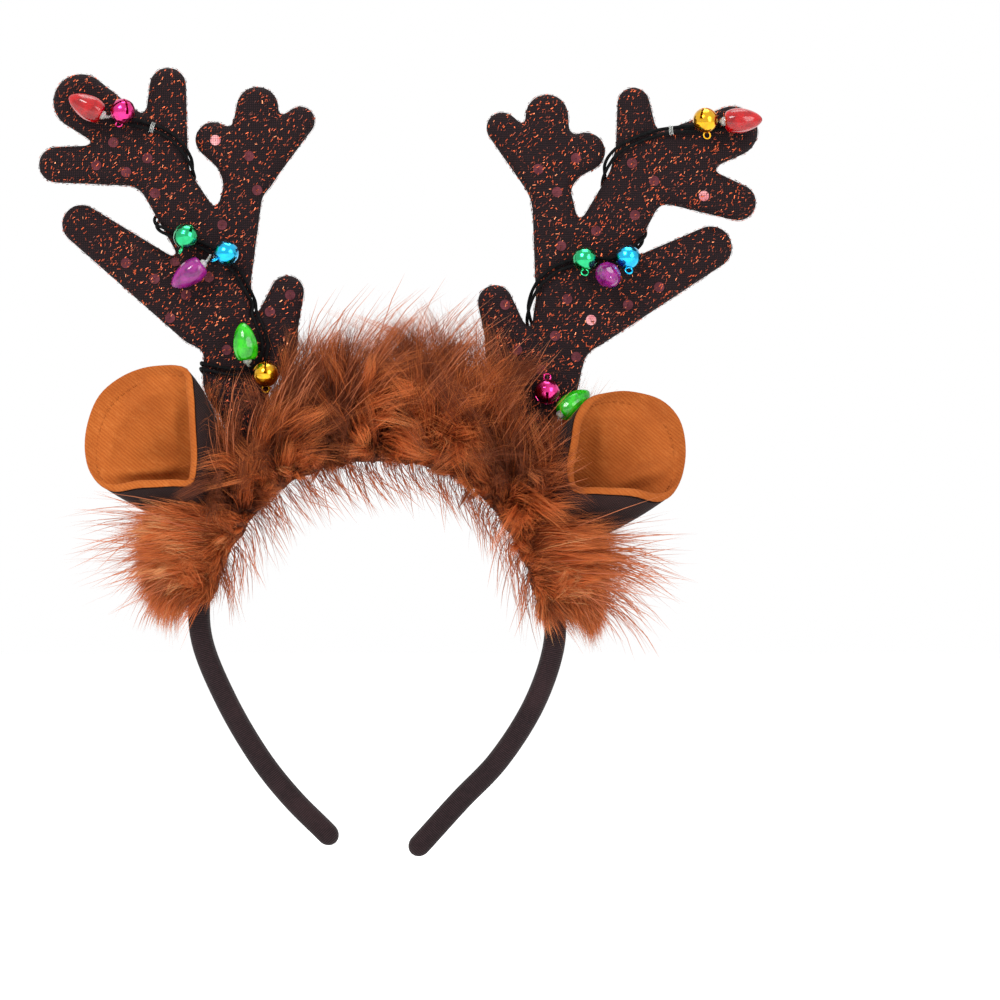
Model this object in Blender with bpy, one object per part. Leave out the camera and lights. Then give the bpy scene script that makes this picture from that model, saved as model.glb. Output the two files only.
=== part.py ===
"""Reindeer antler headband: a fabric-covered hair band with a deep fur trim, two padded antlers, two lined
ears, and on each antler a pair of light wires with three bulbs and four jingle bells.

Metres, +Z up. Seen from the front, -Y faces the viewer and +X is to the right. The origin is the top of the
arch's inner side, where the band sits on the head. Tables and sizes are in millimetres, and MM turns them
into metres where a mesh is made.
"""

import math

import bmesh
import bpy
import numpy as np
from mathutils import Vector

MM = 0.001
GAP = 0.3

# Hair band: a springy bar under a padded fabric sleeve
BAND_THICKNESS = 7.2
BAND_WIDTH_TOP = 12.0
BAND_WIDTH_TIP = 9.5
BAND_SIDES = 10
BAND_STATIONS = 30

# Antlers: two layers of glitter cloth round a foam core
ANTLER_THICKNESS = 7.0
ANTLER_EDGE = 3.3
ANTLER_FILLET = 4.0
ANTLER_LEAN = 6.0
ANTLER_HEIGHT = 125.0

# Ears: a dark back layer and a thicker tan front layer, which turns over the back layer's edge
EAR_BACK_WALL = 1.1
EAR_FRONT_WALL = 1.6
EAR_LAYER_GAP = 0.35
EAR_POINTS = 18
EAR_BASE_DEPTH = 5.2

# Fur trim: how far the fur stands out of the band, outwards and to front and back
FUR_REACH = 30.0
FUR_SIDE_REACH = 20.0
FUR_LOCK = 6.0
FUR_STATIONS = 33
FUR_ROUND = 17

# Bells, bulbs and wires
BELL_RADIUS = 4.15
BELL_WALL = 0.5
BELL_SLIT = math.radians(12)
LOOP_RADIUS = 1.15
LOOP_WIRE = 0.32
BULB_RADIUS = 4.1
BULB_LENGTH = 12.2
BULB_WALL = 0.7
BULB_SIDES = 10
LED_RADIUS = 1.45
WIRE_RADIUS = 0.55
WIRE_CLEAR = 0.6
WIRE_SPREAD = 0.95
WIRE_STEP = 3.2
WIRE_SIDES = 5
LEAD_RADIUS = 0.45

COLOURS = {
    "dark_cloth": ((0.030, 0.020, 0.022), 0.85, 0.0),
    "fur": ((0.36, 0.125, 0.030), 0.80, 0.0),
    "glitter_cloth": ((0.060, 0.030, 0.030), 0.60, 0.1),
    "tan_cloth": ((0.56, 0.20, 0.045), 0.85, 0.0),
    "wire": ((0.012, 0.014, 0.014), 0.45, 0.0),
    "led": ((0.85, 0.88, 0.85), 0.15, 0.0),
    "bulb_red": ((0.80, 0.05, 0.05), 0.15, 0.0),
    "bulb_purple": ((0.55, 0.08, 0.50), 0.15, 0.0),
    "bulb_green": ((0.05, 0.65, 0.08), 0.15, 0.0),
    "bell_pink": ((0.80, 0.03, 0.30), 0.20, 1.0),
    "bell_green": ((0.02, 0.50, 0.20), 0.20, 1.0),
    "bell_blue": ((0.02, 0.40, 0.80), 0.20, 1.0),
    "bell_gold": ((0.85, 0.55, 0.03), 0.20, 1.0),
}

# The band's middle line from the left tip over the top to the right tip: x, z
BAND_PATH = (
    (-14.2, -126.6),
    (-17.6, -123.0),
    (-28.3, -112.3),
    (-38.5, -99.6),
    (-50.1, -79.9),
    (-58.0, -60.3),
    (-58.8, -47.2),
    (-56.2, -34.7),
    (-48.8, -22.0),
    (-39.5, -10.0),
    (-27.5, -2.3),
    (-14.1, 2.0),
    (0.3, 3.4),
    (15.6, 1.6),
    (28.5, -3.4),
    (37.6, -10.0),
    (45.0, -19.5),
    (51.8, -32.0),
    (56.7, -48.1),
    (57.5, -60.3),
    (51.4, -79.9),
    (39.1, -99.6),
    (26.4, -112.9),
    (14.0, -126.6),
    (10.6, -130.2),
)
# Where the fur trim starts and ends on that line
FUR_FROM = (-58.8, -46.0)
FUR_TO = (57.0, -50.0)

# Each antler's limbs, from the root outwards: x, z, half-width, then the same at the limb's tip
ANTLER_LIMBS = {
    "left": {
        "root": (-35.7, -2.9, 7.0, -47.2, 23.3, 8.2),
        "trunk": (-47.2, 23.3, 8.2, -51.4, 51.1, 8.0),
        "lower_tine": (-57.5, 46.5, 10.3, -97.6, 76.0, 5.9),
        "inner_tine": (-36.2, 35.5, 8.0, -30.1, 53.7, 5.0),
        "inner_foot": (-47.2, 26.5, 9.0, -36.2, 35.5, 8.0),
        "inner_beam": (-51.4, 51.1, 8.0, -44.6, 88.0, 6.0),
        "inner_top": (-43.5, 96.0, 6.3, -40.0, 114.3, 6.4),
        "inner_left": (-44.0, 95.5, 6.2, -54.4, 103.8, 5.4),
        "inner_right": (-41.5, 95.0, 8.0, -25.9, 110.0, 4.3),
        "outer_beam": (-54.0, 64.0, 9.0, -73.5, 95.5, 7.6),
        "outer_top": (-70.6, 98.0, 7.2, -69.4, 121.5, 5.5),
        "outer_middle": (-76.0, 101.0, 7.0, -97.9, 116.3, 8.6),
        "outer_left": (-79.0, 95.5, 6.4, -105.8, 95.6, 5.4),
    },
    "right": {
        "root": (38.0, -3.9, 6.5, 54.4, 21.6, 8.0),
        "trunk": (54.4, 21.6, 8.0, 60.5, 42.0, 9.8),
        "lower_tine": (68.0, 46.5, 10.6, 108.7, 68.4, 6.5),
        "inner_tine": (43.5, 34.0, 7.2, 38.0, 50.4, 5.2),
        "inner_foot": (55.0, 26.0, 9.0, 43.5, 34.0, 7.2),
        "inner_beam": (61.2, 50.0, 9.3, 57.0, 82.2, 6.3),
        "inner_top": (56.0, 95.3, 6.3, 55.0, 111.7, 6.5),
        "inner_left": (55.0, 91.0, 7.2, 40.3, 107.7, 4.7),
        "inner_right": (57.0, 95.5, 7.0, 67.8, 99.9, 5.8),
        "outer_beam": (68.5, 60.5, 10.0, 86.0, 92.0, 9.0),
        "outer_top": (85.3, 97.0, 7.4, 83.4, 115.7, 4.8),
        "outer_middle": (93.0, 97.0, 8.4, 115.9, 106.6, 7.8),
        "outer_right": (94.0, 91.5, 8.0, 117.6, 83.2, 5.5),
    },
}

# Each ear's mouth, once round from the upper corner over the front edge to the lower corner and back behind:
# x, y, z, and how far the wall bulges out halfway to the band
EAR_MOUTHS = {
    "left": (
        (-62.9, -10.5, 28.8, 5.5),
        (-60.9, -14.5, 21.0, 4.0),
        (-59.9, -18.0, 8.5, 3.0),
        (-59.3, -19.5, -2.9, 2.0),
        (-60.9, -19.5, -9.0, 1.2),
        (-68.4, -19.5, -9.4, 0.8),
        (-78.3, -17.5, -9.9, 0.8),
        (-87.4, -12.0, -11.1, 1.2),
        (-93.3, -7.0, -7.2, 2.5),
        (-96.0, -4.0, 0.3, 2.0),
        (-95.3, -2.0, 10.2, 2.0),
        (-91.4, -2.0, 19.7, 2.0),
        (-83.2, -3.5, 26.2, 2.5),
        (-72.4, -6.5, 29.5, 4.0),
    ),
    "right": (
        (69.1, -11.5, 19.3, 3.0),
        (65.2, -15.0, 14.4, 2.5),
        (63.2, -18.5, 5.2, 2.0),
        (61.9, -20.5, -4.6, 2.0),
        (63.8, -20.5, -11.1, 1.2),
        (72.4, -20.5, -11.7, 0.8),
        (83.8, -18.5, -12.4, 0.8),
        (93.3, -13.0, -14.1, 1.4),
        (98.3, -8.0, -9.2, 2.5),
        (100.2, -4.5, 2.0, 3.0),
        (98.3, -2.5, 11.8, 2.5),
        (92.0, -2.5, 18.3, 2.0),
        (82.9, -4.0, 21.0, 2.0),
        (74.7, -7.5, 20.8, 2.5),
    ),
}
# The stretch of the band's middle line that each ear is sewn to: upper end, lower end
EAR_BASES = {
    "left": ((-45.6, -17.4), (-53.0, -27.4)),
    "right": ((45.0, -19.5), (52.9, -34.4)),
}

# Bells: side, colour, x, z, sits on the wires, and the way that the hanging loop points
BELLS = (
    ("left", "pink", -83.8, 112.7, True, (-0.25, 0.55, -0.80)),
    ("left", "green", -63.0, 71.7, True, (-0.34, -0.10, -0.94)),
    ("left", "blue", -49.8, 66.2, True, (-0.75, -0.50, -0.45)),
    ("left", "gold", -36.9, 26.6, True, (0.00, 0.30, -0.95)),
    ("right", "gold", 106.8, 109.7, True, (0.10, 0.25, -0.96)),
    ("right", "green", 67.3, 64.2, True, (0.00, -0.50, -0.87)),
    ("right", "blue", 81.4, 64.8, True, (0.05, -0.50, -0.87)),
    ("right", "pink", 55.0, 21.0, False, (0.00, 0.30, 0.95)),
)
# Bulbs: side, colour, base x, base z, how far the base stands off the cloth, and the way that the tip points
BULBS = (
    ("left", "red", -90.6, 111.6, 6.2, (-9.9, 0.0, 5.4)),
    ("left", "purple", -57.6, 62.6, 6.2, (-9.9, 0.0, -7.2)),
    ("left", "green", -42.9, 31.4, 6.2, (-1.6, -0.6, 12.0)),
    ("right", "red", 113.2, 109.4, 6.2, (12.0, 0.0, 0.6)),
    ("right", "purple", 73.9, 60.2, 5.6, (2.6, -10.8, -3.2)),
    ("right", "green", 59.5, 13.6, 4.4, (8.6, 2.6, 7.0)),
)
# The wires' route up each antler: x, z, and the side that they are on: -1 front, 0 at the edge, 1 behind
WIRE_ROUTES = {
    "left": (
        (-38.0, -0.5, 1.0),
        (-43.6, 11.8, 1.0),
        (-50.4, 23.3, 1.0),
        (-58.2, 29.5, 0.1),
        (-52.7, 28.2, -1.0),
        (-45.5, 27.4, -1.0),
        (-39.4, 29.4, -1.0),
        (-37.2, 36.4, -1.0),
        (-39.4, 43.4, -1.0),
        (-42.2, 49.5, -0.2),
        (-43.6, 55.0, -0.8),
        (-46.5, 60.3, -1.0),
        (-50.8, 64.2, -1.0),
        (-57.0, 68.5, -1.0),
        (-63.2, 70.7, -1.0),
        (-68.4, 73.0, -1.0),
        (-73.4, 76.0, 0.0),
        (-69.1, 81.9, 1.0),
        (-64.5, 87.8, 1.0),
        (-61.2, 93.7, 0.0),
        (-63.9, 100.2, -1.0),
        (-69.1, 105.5, -1.0),
        (-75.7, 108.1, -1.0),
        (-82.2, 109.7, -1.0),
        (-87.6, 110.4, -1.0),
    ),
    "right": (
        (39.8, -1.0, 1.0),
        (46.8, 10.2, 1.0),
        (51.1, 21.6, 1.0),
        (51.7, 33.1, 1.0),
        (50.1, 40.3, 0.8),
        (48.8, 45.8, 0.0),
        (49.8, 51.7, -0.5),
        (53.1, 57.3, -1.0),
        (58.6, 61.6, -1.0),
        (64.5, 63.5, -1.0),
        (71.1, 63.8, -1.0),
        (77.6, 64.0, -1.0),
        (82.5, 67.2, -1.0),
        (86.2, 71.4, 0.0),
        (84.2, 77.3, 1.0),
        (80.2, 83.2, 1.0),
        (74.2, 89.1, 0.6),
        (74.4, 95.0, -0.3),
        (77.9, 99.9, -1.0),
        (84.2, 103.5, -1.0),
        (92.0, 106.1, -1.0),
        (99.9, 107.1, -1.0),
        (106.4, 107.3, -1.0),
        (113.6, 108.2, -1.0),
    ),
}


# Curves


def smooth_curve(knots, per_span, closed=False):
    """Points on a smooth curve through the knots, with centripetal Catmull-Rom spans."""
    knots = np.array(knots, float)
    count = len(knots)
    if closed:
        ring = np.vstack([knots[-1], knots, knots[0], knots[1]])
    else:
        ring = np.vstack([2 * knots[0] - knots[1], knots, 2 * knots[-1] - knots[-2]])
    points = []
    for i in range(count if closed else count - 1):
        p = ring[i : i + 4]
        t = np.concatenate([[0], np.cumsum(np.linalg.norm(np.diff(p, axis=0), axis=1) ** 0.5)])
        for u in np.linspace(t[1], t[2], per_span, endpoint=False):
            a = [((t[k + 1] - u) * p[k] + (u - t[k]) * p[k + 1]) / (t[k + 1] - t[k]) for k in range(3)]
            b = [((t[k + 2] - u) * a[k] + (u - t[k]) * a[k + 1]) / (t[k + 2] - t[k]) for k in range(2)]
            points.append(((t[2] - u) * b[0] + (u - t[1]) * b[1]) / (t[2] - t[1]))
    if not closed:
        points.append(knots[-1])
    return np.array(points)


def lengths_along(points):
    return np.concatenate([[0], np.cumsum(np.linalg.norm(np.diff(points, axis=0), axis=1))])


def at_lengths(points, lengths):
    """The points at these lengths along a line of points."""
    along = lengths_along(points)
    return np.stack([np.interp(lengths, along, points[:, k]) for k in range(points.shape[1])], axis=1)


BAND_LINE = smooth_curve(BAND_PATH, 12)
BAND_LENGTH = lengths_along(BAND_LINE)[-1]
BAND_TANGENTS = np.gradient(BAND_LINE, lengths_along(BAND_LINE), axis=0)


def band_frame(length):
    """The middle line's point at this length, its direction and the way out of the arch: x, z each."""
    along = lengths_along(BAND_LINE)
    point = np.array([np.interp(length, along, BAND_LINE[:, k]) for k in range(2)])
    way = np.array([np.interp(length, along, BAND_TANGENTS[:, k]) for k in range(2)])
    way = way / np.linalg.norm(way)
    return point, way, np.array([-way[1], way[0]])


def band_length_at(place):
    """The length along the band's middle line nearest to a place x, z."""
    nearest = np.argmin(np.linalg.norm(BAND_LINE - np.array(place), axis=1))
    return lengths_along(BAND_LINE)[nearest]


def height_over_band(places):
    """How far each place x, z is outside the band's middle line, negative inside the arch."""
    places = np.atleast_2d(places)
    apart = places[:, None, :] - BAND_LINE[None, :, :]
    nearest = np.argmin((apart**2).sum(2), axis=1)
    row = np.arange(len(places))
    out = np.stack([-BAND_TANGENTS[nearest, 1], BAND_TANGENTS[nearest, 0]], axis=1)
    out = out / np.linalg.norm(out, axis=1, keepdims=True)
    return (apart[row, nearest] * out).sum(1)


# Meshes


def new_object(name, bm, slot, smooth=50):
    """A mesh object in metres from a bmesh in millimetres, with its material."""
    bmesh.ops.recalc_face_normals(bm, faces=bm.faces)
    bmesh.ops.triangulate(bm, faces=bm.faces)
    bmesh.ops.scale(bm, vec=(MM, MM, MM), verts=bm.verts)
    mesh = bpy.data.meshes.new(name)
    bm.to_mesh(mesh)
    bm.free()
    return link_object(name, mesh, slot, smooth)


def link_object(name, mesh, slot, smooth=50):
    mesh.shade_smooth()
    mesh.set_sharp_from_angle(angle=math.radians(smooth))
    obj = bpy.data.objects.new(name, mesh)
    bpy.context.scene.collection.objects.link(obj)
    paint(obj, slot)
    return obj


def paint(obj, slot):
    """Gives the object the material of a slot, held by the object so that a shared mesh can have several."""
    if slot is None:
        return
    material = bpy.data.materials.get(slot)
    if material is None:
        colour, roughness, metallic = COLOURS[slot]
        material = bpy.data.materials.new(slot)
        material.use_nodes = True
        shader = material.node_tree.nodes["Principled BSDF"]
        shader.inputs["Base Color"].default_value = (*colour, 1.0)
        shader.inputs["Roughness"].default_value = roughness
        shader.inputs["Metallic"].default_value = metallic
    if not obj.data.materials:
        obj.data.materials.append(None)
    obj.material_slots[0].link = "OBJECT"
    obj.material_slots[0].material = material


def as_cutter(obj):
    obj.hide_render = True
    obj.display_type = "WIRE"
    return obj


def skin_rings(bm, rings, closed_rings=True):
    """Faces between each ring of points and the next. Returns the rings' vertices."""
    made = [[bm.verts.new(p) for p in ring] for ring in rings]
    for low, high in zip(made, made[1:]):
        count = len(low)
        for i in range(count if closed_rings else count - 1):
            j = (i + 1) % count
            bm.faces.new((low[i], low[j], high[j], high[i]))
    return made


def ladder_cap(bm, ring):
    """Closes a ring with rungs from front to back, so that the cap follows a curved base."""
    count = len(ring)
    for i in range(count // 2):
        left, right = ring[i], ring[i + 1]
        over, under = ring[-i % count], ring[count - i - 1]
        bm.faces.new(list(dict.fromkeys((left, right, under, over))))


def keep_largest_body(obj):
    """Applies the object's modifiers and drops the crumbs that a cut leaves."""
    graph = bpy.context.evaluated_depsgraph_get()
    bm = bmesh.new()
    bm.from_mesh(bpy.data.meshes.new_from_object(obj.evaluated_get(graph)))
    left, bodies = set(bm.verts), []
    while left:
        body, edge_of = set(), [left.pop()]
        while edge_of:
            v = edge_of.pop()
            body.add(v)
            fresh = {e.other_vert(v) for e in v.link_edges} & left
            left -= fresh
            edge_of.extend(fresh)
        bodies.append(body)
    bodies.sort(key=len)
    bmesh.ops.delete(bm, geom=[v for body in bodies[:-1] for v in body], context="VERTS")
    bmesh.ops.dissolve_degenerate(bm, edges=bm.edges, dist=1e-5)
    bmesh.ops.triangulate(bm, faces=bm.faces)
    obj.modifiers.clear()
    bm.to_mesh(obj.data)
    bm.free()


# Hair band


def band_section(length):
    """One ring of points round the band, rounded off towards the tips."""
    point, _, out = band_frame(length)
    share = abs(length / BAND_LENGTH * 2 - 1)
    width = BAND_WIDTH_TOP + (BAND_WIDTH_TIP - BAND_WIDTH_TOP) * share**3
    from_tip = min(length, BAND_LENGTH - length)
    tip_round = BAND_THICKNESS * 0.55
    size = math.sqrt(max(0.06, 1 - max(0.0, 1 - from_tip / tip_round) ** 2))
    ring = []
    for k in range(BAND_SIDES):
        turn = 2 * math.pi * (k + 0.5) / BAND_SIDES
        c, s = math.cos(turn), math.sin(turn)
        flat = (abs(c) ** 2.6 + abs(s) ** 2.6) ** (-1 / 2.6)
        n = c * flat * BAND_THICKNESS / 2 * size
        y = s * flat * width / 2 * size
        ring.append((point[0] + out[0] * n, y, point[1] + out[1] * n))
    return ring


def make_band():
    tips = (0.0, 0.5, 1.4, 3.2)
    middle = np.linspace(tips[-1], BAND_LENGTH - tips[-1], BAND_STATIONS)
    stations = [*tips[:-1], *middle, *(BAND_LENGTH - t for t in reversed(tips[:-1]))]
    bm = bmesh.new()
    rings = skin_rings(bm, [band_section(s) for s in stations])
    bm.faces.new(rings[0])
    bm.faces.new(rings[-1])
    new_object("band", bm, "dark_cloth")


# Antlers


def limb_field(places, limbs):
    """Signed distance of places x, z to an antler's outline: tapering limbs, blended where they meet."""
    places = np.atleast_2d(places)
    field = None
    for x0, z0, r0, x1, z1, r1 in limbs.values():
        start, span = np.array([x0, z0]), np.array([x1 - x0, z1 - z0])
        share = np.clip((places - start) @ span / (span @ span), 0, 1)
        away = np.linalg.norm(places - start - share[:, None] * span, axis=1)
        away = away - (r0 + (r1 - r0) * share)
        if field is None:
            field = away
            continue
        mix = np.clip(0.5 + 0.5 * (field - away) / ANTLER_FILLET, 0, 1)
        field = field + (away - field) * mix - ANTLER_FILLET * mix * (1 - mix)
    over_band = BAND_THICKNESS / 2 + GAP - height_over_band(places)
    corner = 8.0
    mix = np.clip(0.5 - 0.5 * (field - over_band) / corner, 0, 1)
    return field + (over_band - field) * mix + corner * mix * (1 - mix)


def field_and_slope(places, limbs, step=0.05):
    """The field at each place and the direction out of the outline there."""
    moves = np.array([(0, 0), (step, 0), (-step, 0), (0, step), (0, -step)])
    around = (places[None] + moves[:, None]).reshape(-1, 2)
    field = limb_field(around, limbs).reshape(len(moves), -1)
    slope = np.stack([field[1] - field[2], field[3] - field[4]], axis=1)
    return field[0], slope / np.linalg.norm(slope, axis=1, keepdims=True)


def trace_outline(limbs, step=0.7, turn=math.radians(24), longest=12.0):
    """Walks once round an antler's outline, and keeps a point after each such turn or length."""
    x0, z0, _, x1, z1, r1 = limbs["lower_tine"]
    way = np.array([x1 - x0, z1 - z0]) / math.hypot(x1 - x0, z1 - z0)
    place = np.array([[x1, z1]]) + way * r1
    walk = []
    while len(walk) < 50 or np.linalg.norm(place[0] - walk[0]) > step:
        for _ in range(2):
            field, slope = field_and_slope(place, limbs)
            place = place - field[:, None] * slope
        walk.append(place[0].copy())
        place = place + step * np.stack([-slope[:, 1], slope[:, 0]], axis=1)
    walk = np.array(walk)
    _, slopes = field_and_slope(walk, limbs)
    angles = np.unwrap(np.arctan2(slopes[:, 1], slopes[:, 0]))
    kept = [0]
    for i in range(1, len(walk) - 1):
        far = (i - kept[-1]) * step
        if abs(angles[i] - angles[kept[-1]]) >= turn or far >= longest:
            kept.append(i)
    return walk[kept], slopes[kept]


def lean_at(z):
    """How far back the antlers lean at this height."""
    return ANTLER_LEAN * z / ANTLER_HEIGHT


def antler_mesh(traced, grow=0.0):
    """A flat padded form with round edges, from its traced outline. A cutter grows by the given gap."""
    outline, slopes = traced
    outline = outline + slopes * grow
    half = ANTLER_THICKNESS / 2 + grow
    bm = bmesh.new()
    arcs = [math.radians(a) for a in (-90, -32, 32, 90)]
    rings = []
    for arc in arcs:
        inset = ANTLER_EDGE * (1 - math.cos(arc))
        y = half * math.sin(arc)
        places = outline - slopes * inset
        rings.append([(x, y + lean_at(z), z) for x, z in places])
    made = skin_rings(bm, rings)
    bm.faces.new(made[0])
    bm.faces.new(made[-1])
    return bm


def antler_distance(points, limbs):
    """Rough signed distance of points x, y, z to an antler's padded form."""
    flat = limb_field(points[:, [0, 2]], limbs) + ANTLER_EDGE
    lean = np.array([lean_at(z) for z in points[:, 2]])
    deep = np.abs(points[:, 1] - lean) - (ANTLER_THICKNESS / 2 - ANTLER_EDGE)
    outside = np.hypot(np.maximum(flat, 0), np.maximum(deep, 0))
    return outside + np.minimum(np.maximum(flat, deep), 0) - ANTLER_EDGE


def antler_slope(points, limbs, step=0.05):
    slope = np.stack(
        [
            antler_distance(points + step * axis, limbs) - antler_distance(points - step * axis, limbs)
            for axis in np.eye(3)
        ],
        axis=1,
    )
    return slope / np.maximum(np.linalg.norm(slope, axis=1, keepdims=True), 1e-9)


# Ears


def ear_grid(side, shares):
    """Rings of points from the band (share 0) to the ear's mouth (share 1)."""
    rows = np.array(EAR_MOUTHS[side])
    rim = np.vstack([smooth_curve(rows, 8, closed=True), rows[0]])
    mouth = at_lengths(rim, np.linspace(0, lengths_along(rim)[-1], EAR_POINTS + 1)[:-1])
    high, low = (band_length_at(place) for place in EAR_BASES[side])
    base = []
    for k in range(EAR_POINTS):
        turn = 2 * math.pi * k / EAR_POINTS
        length = (high + low) / 2 + (high - low) / 2 * math.cos(turn)
        point, _, out = band_frame(length)
        off = BAND_THICKNESS / 2 + GAP + 0.1
        y = -EAR_BASE_DEPTH * math.sin(turn)
        base.append((point[0] + out[0] * off, y, point[1] + out[1] * off))
    base = np.array(base)
    middle = mouth[:, :3].mean(0)
    spread = mouth[:, :3] - middle
    spread = spread / np.linalg.norm(spread, axis=1, keepdims=True)
    grid = []
    for share in shares:
        bulge = 4 * share * (1 - share) * mouth[:, 3:4]
        grid.append(base + (mouth[:, :3] - base) * share + spread * bulge)
    return np.array(grid)


def ear_normals(side, shares):
    step = 0.01
    here = ear_grid(side, shares)
    along = ear_grid(side, [s + step for s in shares]) - ear_grid(side, [s - step for s in shares])
    around = np.roll(here, -1, axis=1) - np.roll(here, 1, axis=1)
    out = np.cross(around, along)
    out = out / np.linalg.norm(out, axis=2, keepdims=True)
    centre = here.mean(axis=1, keepdims=True)
    if ((here - centre) * out).sum() < 0:
        out = -out
    return out


def ear_rings(side, steps):
    """Rings at (share, depth under the outer face) steps."""
    shares = [s for s, _ in steps]
    depths = np.array([d for _, d in steps])[:, None, None]
    return ear_grid(side, shares) - ear_normals(side, shares) * depths


def make_ear(side):
    lining = EAR_BACK_WALL + EAR_LAYER_GAP
    inside = lining + EAR_FRONT_WALL
    edge, turned_edge = 0.945, 0.965
    back = ((0, 0), (0.3, 0), (0.65, 0), (edge, 0), (edge, EAR_BACK_WALL))
    back += ((0.65, EAR_BACK_WALL), (0.3, EAR_BACK_WALL), (0.07, EAR_BACK_WALL))
    front = ((0.12, lining), (0.3, lining), (0.65, lining), (edge, lining), (turned_edge, lining))
    front += ((turned_edge, 0), (1.0, 0.3), (1.0, inside - 0.3), (0.9, inside), (0.65, inside))
    front += ((0.3, inside), (0.18, inside))
    for name, steps, slot in (("back", back, "dark_cloth"), ("front", front, "tan_cloth")):
        bm = bmesh.new()
        rings = skin_rings(bm, ear_rings(side, steps))
        ladder_cap(bm, rings[0])
        ladder_cap(bm, rings[-1])
        new_object(f"ear_{side}_{name}", bm, slot)


def ear_cutter(side):
    """The room that the ear and its mouth take out of the fur."""
    grow = 0.7
    rings = list(ear_rings(side, ((0.0, -grow), (0.35, -grow), (0.7, -grow), (1.0, -grow))))
    rings[0] = rings[0] + (rings[0] - rings[1]) * 0.15
    rings.append(rings[-1] + (rings[-1] - rings[-3]).mean(axis=0) * 0.6)
    bm = bmesh.new()
    made = skin_rings(bm, rings)
    ladder_cap(bm, made[0])
    ladder_cap(bm, made[-1])
    return as_cutter(new_object(f"cutter_ear_{side}", bm, None))


# Bells, bulbs and wires


def turned(profile, angles, closed_end):
    """A bmesh turned about Z from a profile of radius, height. closed_end ends it in one point."""
    bm = bmesh.new()
    rows = profile[:-1] if closed_end else profile
    rings = skin_rings(bm, [[(r * math.cos(a), r * math.sin(a), h) for a in angles] for r, h in rows])
    if closed_end:
        tip = bm.verts.new((0, 0, profile[-1][1]))
        last = rings[-1]
        for i in range(len(last)):
            bm.faces.new((last[i], last[(i + 1) % len(last)], tip))
    return bm, rings


def bell_mesh():
    """A hollow bell with a cross of slits at the bottom (+Z here) and its hanging loop at the top (-Z)."""
    quarter = math.pi / 2
    angles = []
    for k in range(4):
        angles += [k * quarter - BELL_SLIT / 2, k * quarter + BELL_SLIT / 2, (k + 0.5) * quarter]
    heights = [math.radians(a) for a in (-90, -48, -8, 32, 72)]
    profile = [(BELL_RADIUS * math.cos(a), BELL_RADIUS * math.sin(a)) for a in heights]
    bm, rings = turned(profile[::-1], angles, True)
    slit_rows = 2
    for row in range(slit_rows):
        for k in range(4):
            corners = {rings[row][3 * k], rings[row][3 * k + 1], rings[row + 1][3 * k]}
            for face in [f for f in rings[row][3 * k].link_faces if corners <= set(f.verts)]:
                bm.faces.remove(face)
    shell = new_object("bell_shell", bm, None, smooth=30)
    wall = shell.modifiers.new("wall", "SOLIDIFY")
    wall.thickness = BELL_WALL * MM
    wall.offset = -1
    loop_bm = bmesh.new()
    centre = -(BELL_RADIUS + LOOP_RADIUS * 0.72)
    rings = []
    for k in range(8):
        turn = 2 * math.pi * (k + 0.5) / 8
        ring = []
        for j in range(5):
            around = 2 * math.pi * j / 5
            r = LOOP_RADIUS + LOOP_WIRE * math.cos(around)
            ring.append((r * math.cos(turn), LOOP_WIRE * math.sin(around), centre + r * math.sin(turn)))
        rings.append(ring)
    skin_rings(loop_bm, [*rings, rings[0]])
    bmesh.ops.remove_doubles(loop_bm, verts=loop_bm.verts, dist=1e-4)
    loop = as_cutter(new_object("bell_loop", loop_bm, None))
    join = shell.modifiers.new("loop", "BOOLEAN")
    join.operation = "UNION"
    join.object = loop
    keep_largest_body(shell)
    mesh = shell.data
    bpy.data.objects.remove(shell)
    bpy.data.objects.remove(loop)
    return mesh


def bulb_mesh():
    """A hollow faceted drop, open at its base, with its tip towards +Z."""
    rows = ((0.60, 0.0), (0.80, 0.05), (1.0, 0.30), (0.90, 0.58), (0.55, 0.85), (0.0, 1.0))
    profile = [(r * BULB_RADIUS, h * BULB_LENGTH) for r, h in rows]
    angles = [2 * math.pi * k / BULB_SIDES for k in range(BULB_SIDES)]
    bm, _ = turned(profile, angles, True)
    shell = new_object("bulb_shell", bm, None, smooth=20)
    wall = shell.modifiers.new("wall", "SOLIDIFY")
    wall.thickness = BULB_WALL * MM
    wall.offset = -1
    keep_largest_body(shell)
    mesh = shell.data
    bpy.data.objects.remove(shell)
    return mesh


def place(name, mesh, slot, point, way):
    """An object that shares the mesh, at a point in millimetres, with its +Z turned to the given way."""
    obj = bpy.data.objects.new(name, mesh)
    bpy.context.scene.collection.objects.link(obj)
    obj.location = Vector(point) * MM
    obj.rotation_mode = "QUATERNION"
    obj.rotation_quaternion = Vector(way).to_track_quat("Z", "Y")
    paint(obj, slot)
    return obj


def bell_centre(x, z, on_wires):
    under = WIRE_CLEAR + 2 * WIRE_RADIUS + GAP if on_wires else GAP
    return (x, lean_at(z) - ANTLER_THICKNESS / 2 - under - BELL_RADIUS, z)


def bulb_base(x, z, off):
    return (x, lean_at(z) - ANTLER_THICKNESS / 2 - off, z)


def make_bells():
    mesh = bell_mesh()
    for side, colour, x, z, on_wires, loop_way in BELLS:
        way = [-c for c in loop_way]
        place(f"bell_{side}_{colour}", mesh, f"bell_{colour}", bell_centre(x, z, on_wires), way)


def make_bulbs():
    shell = bulb_mesh()
    for side, colour, x, z, off, way in BULBS:
        base = bulb_base(x, z, off)
        place(f"bulb_{side}_{colour}", shell, f"bulb_{colour}", base, way)
        make_led(side, colour, base, way, z > 20)


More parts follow.
